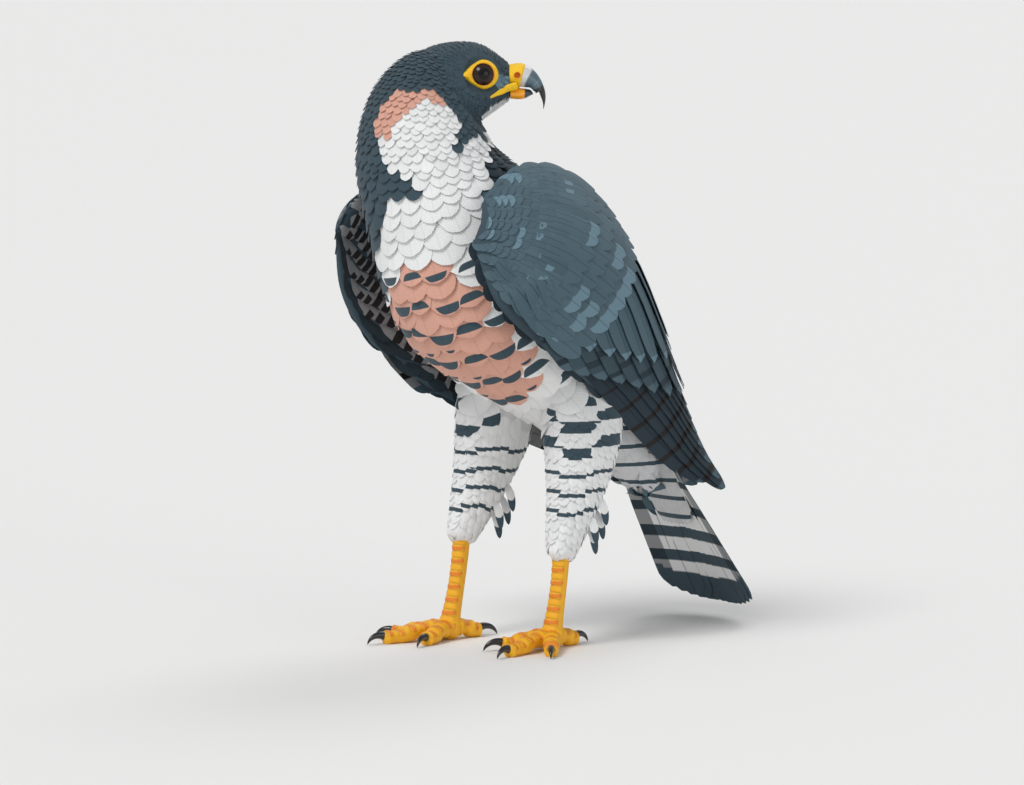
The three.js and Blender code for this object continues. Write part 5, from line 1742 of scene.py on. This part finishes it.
share = np.linspace(0, 1, 34)
ridge = (HORN_RIDGE + 0.02) * share
edge = (HORN_EDGE + 0.02) * share
grow = 0.45 - 0.9 * smooth_step(share, 0.82, 1.0)
rings, _ = bill_rings(UPPER_BILL, ridge, edge, 120, grow=grow, pinch=0.1)
rings[:3, :, 0] -= np.array([1.6, 1.0, 0.5])[:, None]
centre = np.array(NOSTRIL_AT)
side_of = np.sign(rings[..., 1])
offset = rings - centre * np.stack([np.ones_like(side_of), side_of, np.ones_like(side_of)], axis=-1)
away = np.hypot(offset[..., 0], offset[..., 2])
dent = 1.5 * (1 - smooth_step(away, NOSTRIL_RADIUS * 0.6, NOSTRIL_RADIUS))
rim = 0.3 * np.exp(-(((away - NOSTRIL_RADIUS * 1.25) / 0.45) ** 2))
cone = 1.3 * (1 - smooth_step(away, 0.25, 0.75))
rings[..., 1] += side_of * (rim + cone - dent) * (np.abs(rings[..., 1]) > 4)
points, faces = loft(in_head(rings))
colours = np.tile(YELLOW, (len(points), 1))
orange = np.concatenate([(1 - smooth_step(away, NOSTRIL_RADIUS, NOSTRIL_RADIUS + 0.7)).ravel(), [0, 0]])
colours += orange[:, None] * (np.array(linear("#d9761a")) - colours)
cere = new_piece("cere_skin", points, faces, facial_skin)
paint(cere, colours)
fasten(cere, "bare_skin", "cere")

folds = []
for side in (1, -1):
    back = np.linspace(0, 1, 26)
    x = BILL_BASE + 1.5 + (GAPE_BACK - BILL_BASE - 1.5) * back
    guess = np.stack([x, side * (7.5 + 9 * back), MOUTH_LEVEL + 1.4 - 6.4 * back], axis=-1)
    line = in_head(guess)
    out = np.empty_like(line)
    for i, point in enumerate(line):
        place, normal, _, _ = skin_tree.find_nearest(Vector((point + MIDDLE) * MM))
        if back[i] > 0.12:
            line[i] = np.array(place) / MM - MIDDLE
        out[i] = normal
    for _ in range(8):
        line[1:-1] = (line[:-2] + line[1:-1] * 2 + line[2:]) / 4
        out[1:-1] = unit(out[:-2] + out[1:-1] * 2 + out[2:])
    tall = np.interp(back, [0, 0.3, 1], [3.1, 2.4, 0.4])
    upward = unit(np.cross(np.gradient(line, axis=0), out)) * side
    turn = np.linspace(0, 2 * math.pi, 16, endpoint=False)
    rings = line[:, None] + tall[:, None, None] * np.cos(turn)[None, :, None] * upward[:, None]
    rings = rings + (0.5 * tall)[:, None, None] * (np.sin(turn) + 0.5)[None, :, None] * out[:, None]
    folds.append(loft(rings))
gape = new_piece("mouth_corners", *joined(*folds), facial_skin)
paint(gape, np.array(YELLOW))
fasten(gape, "bare_skin")


# Feet
# Each foot is one bare skin: a shank, the ball and four toes, with a row of raised scutes down the front of
# the shank and along the top of each toe, soft pads below, and small scales between. Every second scute has
# an orange front edge, partly the skin's own orange and partly painted shade, and the grooves between the
# scutes are darkened by painted shade.
SHANK_TOP = 86
SHANK_RADIUS = 4.8
BALL_RADIUS = 8.2
BALL_HEIGHT = 7.6
SCUTE_GAP = 4.2
SHANK_SCUTE = 0.75  # how far its scutes stand out
TOE_SCUTE = 0.55
LIMB_SIDES = 44
FOOT_VOXEL = 0.42
# Each toe's name, its direction from straight ahead, length, radius and claw length.
TOES = [
    ("middle", 0, 48, 4.9, 15),
    ("inner", -36, 34, 5, 16),
    ("outer", 35, 38, 4.7, 14),
    ("hind", 176, 23, 5.2, 18),
]
FOOT_YELLOW = linear("#fcb813")
SCUTE_ORANGE = linear("#ec881d")


def limb(line, radii, sides, squash=1.0, tall=1.0):
    """Rings round a line, each starting at its top."""
    along = unit(np.gradient(line, axis=0))
    side = np.cross([0.0, 0.0, 1.0], along)
    side[np.linalg.norm(side, axis=1) < 0.3] = (1, 0, 0)
    side = unit(side)
    up = unit(np.cross(along, side))
    turn = np.linspace(0, 2 * math.pi, sides, endpoint=False)
    across, high = np.sin(turn), np.cos(turn)
    reach = np.broadcast_to(np.reshape(radii, (len(line), -1)), (len(line), sides))
    rings = line[:, None] + (reach * across)[..., None] * side[:, None]
    return rings + (reach * high * squash * tall)[..., None] * up[:, None]


def scutes(way, high, across, height):
    """How far scutes stand out, and how orange and how deep in a groove each point is."""
    turn = way / SCUTE_GAP
    phase = (turn % 1)[:, None]
    on_top = smooth_step(high, 0.05, 0.5)[None, :]
    plate = np.clip(phase / 0.3, 0, 1) ** 0.5 * (1 - smooth_step(phase, 0.84, 1.0))
    bowed = (phase - 0.62 + 0.2 * across[None, :] ** 2) / 0.3
    orange = (np.abs(bowed) < 1) * (np.floor(turn) % 2 == 0)[:, None] * (high > 0.25)[None, :]
    return height * plate * on_top, orange * 1.0, (1 - plate) * on_top


foot_skin = bare_skin_material("scaly_foot_skin", 1.1, 0.46)
claw_horn = horn_material("claw_horn", 0.22, 0.8)
for name, leg in LEGS.items():
    bodies, samples, claws = [], [], []
    ball_at = np.array([*leg["ball"], BALL_HEIGHT], float)
    f = np.linspace(0, 1, 220)
    top = np.array([leg["hem"][0], leg["hem"][1] + 2, SHANK_TOP], float)
    line = top + (ball_at - top) * f[:, None]
    line[:, 1] += 2.5 * np.sin(math.pi * f)
    radii = SHANK_RADIUS + 1.6 * (1 - f) ** 3 + 2.2 * f**6
    limbs = [(line, radii, f * (SHANK_TOP - BALL_HEIGHT), 1.0, SHANK_SCUTE, None)]
    for toe, splay, length, radius, claw in TOES:
        heading = math.radians(leg["side"] * (leg["turn"] + splay))
        ahead = np.array([math.sin(heading), -math.cos(heading), 0])
        f = np.linspace(0, 1, int(length * 3))
        reach = 3 + (length - 3) * f
        knuckle = np.sin(math.pi * np.minimum(f * 1.35, 1)) * 1.6
        height = BALL_HEIGHT - 0.6 + (radius - 0.4 - BALL_HEIGHT) * np.minimum(f * 1.4, 1) + knuckle
        line = np.array([ball_at[0], ball_at[1], 0]) + ahead * reach[:, None]
        line[:, 2] = height
        pads = 0.55 * np.cos(f * 5 * math.pi)
        tip = np.where(f > 0.93, np.sqrt(np.maximum(1 - ((f - 0.93) / 0.075) ** 2, 0.08)), 1)
        radii = (radius * (1.12 - 0.2 * f) - pads) * tip
        limbs.append((line, radii, reach, 0.95, TOE_SCUTE, (ahead, radius, claw)))
    for line, radii, way, squash, height, claw in limbs:
        turn = np.linspace(0, 2 * math.pi, LIMB_SIDES, endpoint=False)
        raised, orange, groove = scutes(way, np.cos(turn), np.sin(turn), height)
        rings = limb(line, radii[:, None] + raised, LIMB_SIDES, squash)
        bodies.append(loft(rings))
        samples.append((rings.reshape(-1, 3), orange.ravel(), groove.ravel()))
        if claw is None:
            continue
        ahead, radius, length = claw
        f = np.linspace(0, 1, 30)
        bend = np.radians(18 - 92 * f)
        step = np.diff(f, prepend=0)[:, None] * (length + 2)
        line = np.cumsum(step * (np.cos(bend)[:, None] * ahead + np.sin(bend)[:, None] * (0, 0, 1)), axis=0)
        root = rings[-1].mean(axis=0) - ahead * 2.2
        root[2] = radius - 0.2
        line += root
        line[:, 2] += np.maximum(0.5 - line[-1, 2], 0) * f
        claws.append(loft(limb(line, 2.5 * (1 - f) ** 0.75 + 0.12, 22, tall=1.12)))
    turn = np.linspace(0.02, math.pi - 0.02, 30)
    ball_line = ball_at + np.cos(turn)[:, None] * np.array([0, BALL_RADIUS, 0])
    bodies.append(loft(limb(ball_line, BALL_RADIUS * np.sin(turn), 40)))
    foot = new_piece(f"foot_{name}", *joined(*bodies), foot_skin)
    points = fused(foot, FOOT_VOXEL, 2)
    points[:, 2] = np.maximum(points[:, 2], 0)
    move_points(foot, points)
    places = np.concatenate([place for place, _, _ in samples])
    orange = np.concatenate([amount for _, amount, _ in samples])
    groove = np.concatenate([amount for _, _, amount in samples])
    near = KDTree(len(places))
    for i, place in enumerate(places):
        near.insert(place, i)
    near.balance()
    found = [near.find(point)[1] for point in points]
    # The orange on the scutes' front edges is partly the skin's own colour and partly painted shade; the
    # grooves between the scutes are darkened as painted shade.
    colours = np.array(FOOT_YELLOW) + orange[found][:, None] * (np.array(SCUTE_ORANGE) - FOOT_YELLOW)
    colours *= 1 - 0.35 * groove[found][:, None]
    paint(foot, colours)
    fasten(foot, "bare_skin", f"shank_{name}", *(f"toe_{toe[0]}_{name}" for toe in TOES))
    claw_set = new_piece(f"claws_{name}", *joined(*claws), claw_horn)
    paint(claw_set, np.array(HORN_BLACK))
    fasten(claw_set, "claw_horn", *(f"claw_{toe[0]}_{name}" for toe in TOES))


# Skin colours
# The skin wears the colours of the feathers that grow from it, darkened by painted shade, so that nothing
# else shows between them. The wings' bodies have the same down in their own colours.
SKIN_SHADE = 0.8  # of the feathers' brightness, as painted shade between them
tree_of_roots = KDTree(sum(len(roots) for roots, _ in worn))
ground_colours = np.concatenate([colours for _, colours in worn])
for i, root in enumerate(np.concatenate([roots for roots, _ in worn])):
    tree_of_roots.insert(root, i)
tree_of_roots.balance()
nearest = [tree_of_roots.find(point)[1] for point in points_of(skin)]
# Painted shade: the skin takes its nearest feathers' colours at SKIN_SHADE of their brightness.
paint(skin, ground_colours[nearest] * SKIN_SHADE, "ground")
# Down-covered skin: matt, with a soft uneven nap.
nap, tree, surface = new_material("down_on_skin", roughness=0.9)
ground = add_node(tree, "ShaderNodeAttribute", attribute_name="ground")
tree.links.new(ground.outputs["Color"], surface.inputs["Base Color"])
fluff = add_node(tree, "ShaderNodeTexNoise", {"Scale": 400.0, "Detail": 3.0})
relief = add_node(
    tree, "ShaderNodeBump", {"Height": fluff.outputs["Fac"], "Strength": 0.5, "Distance": 0.0006}
)
tree.links.new(relief.outputs["Normal"], surface.inputs["Normal"])
for piece in (skin, bpy.data.objects["wing_left_body"], bpy.data.objects["wing_right_body"]):
    piece.data.materials.clear()
    piece.data.materials.append(nap)
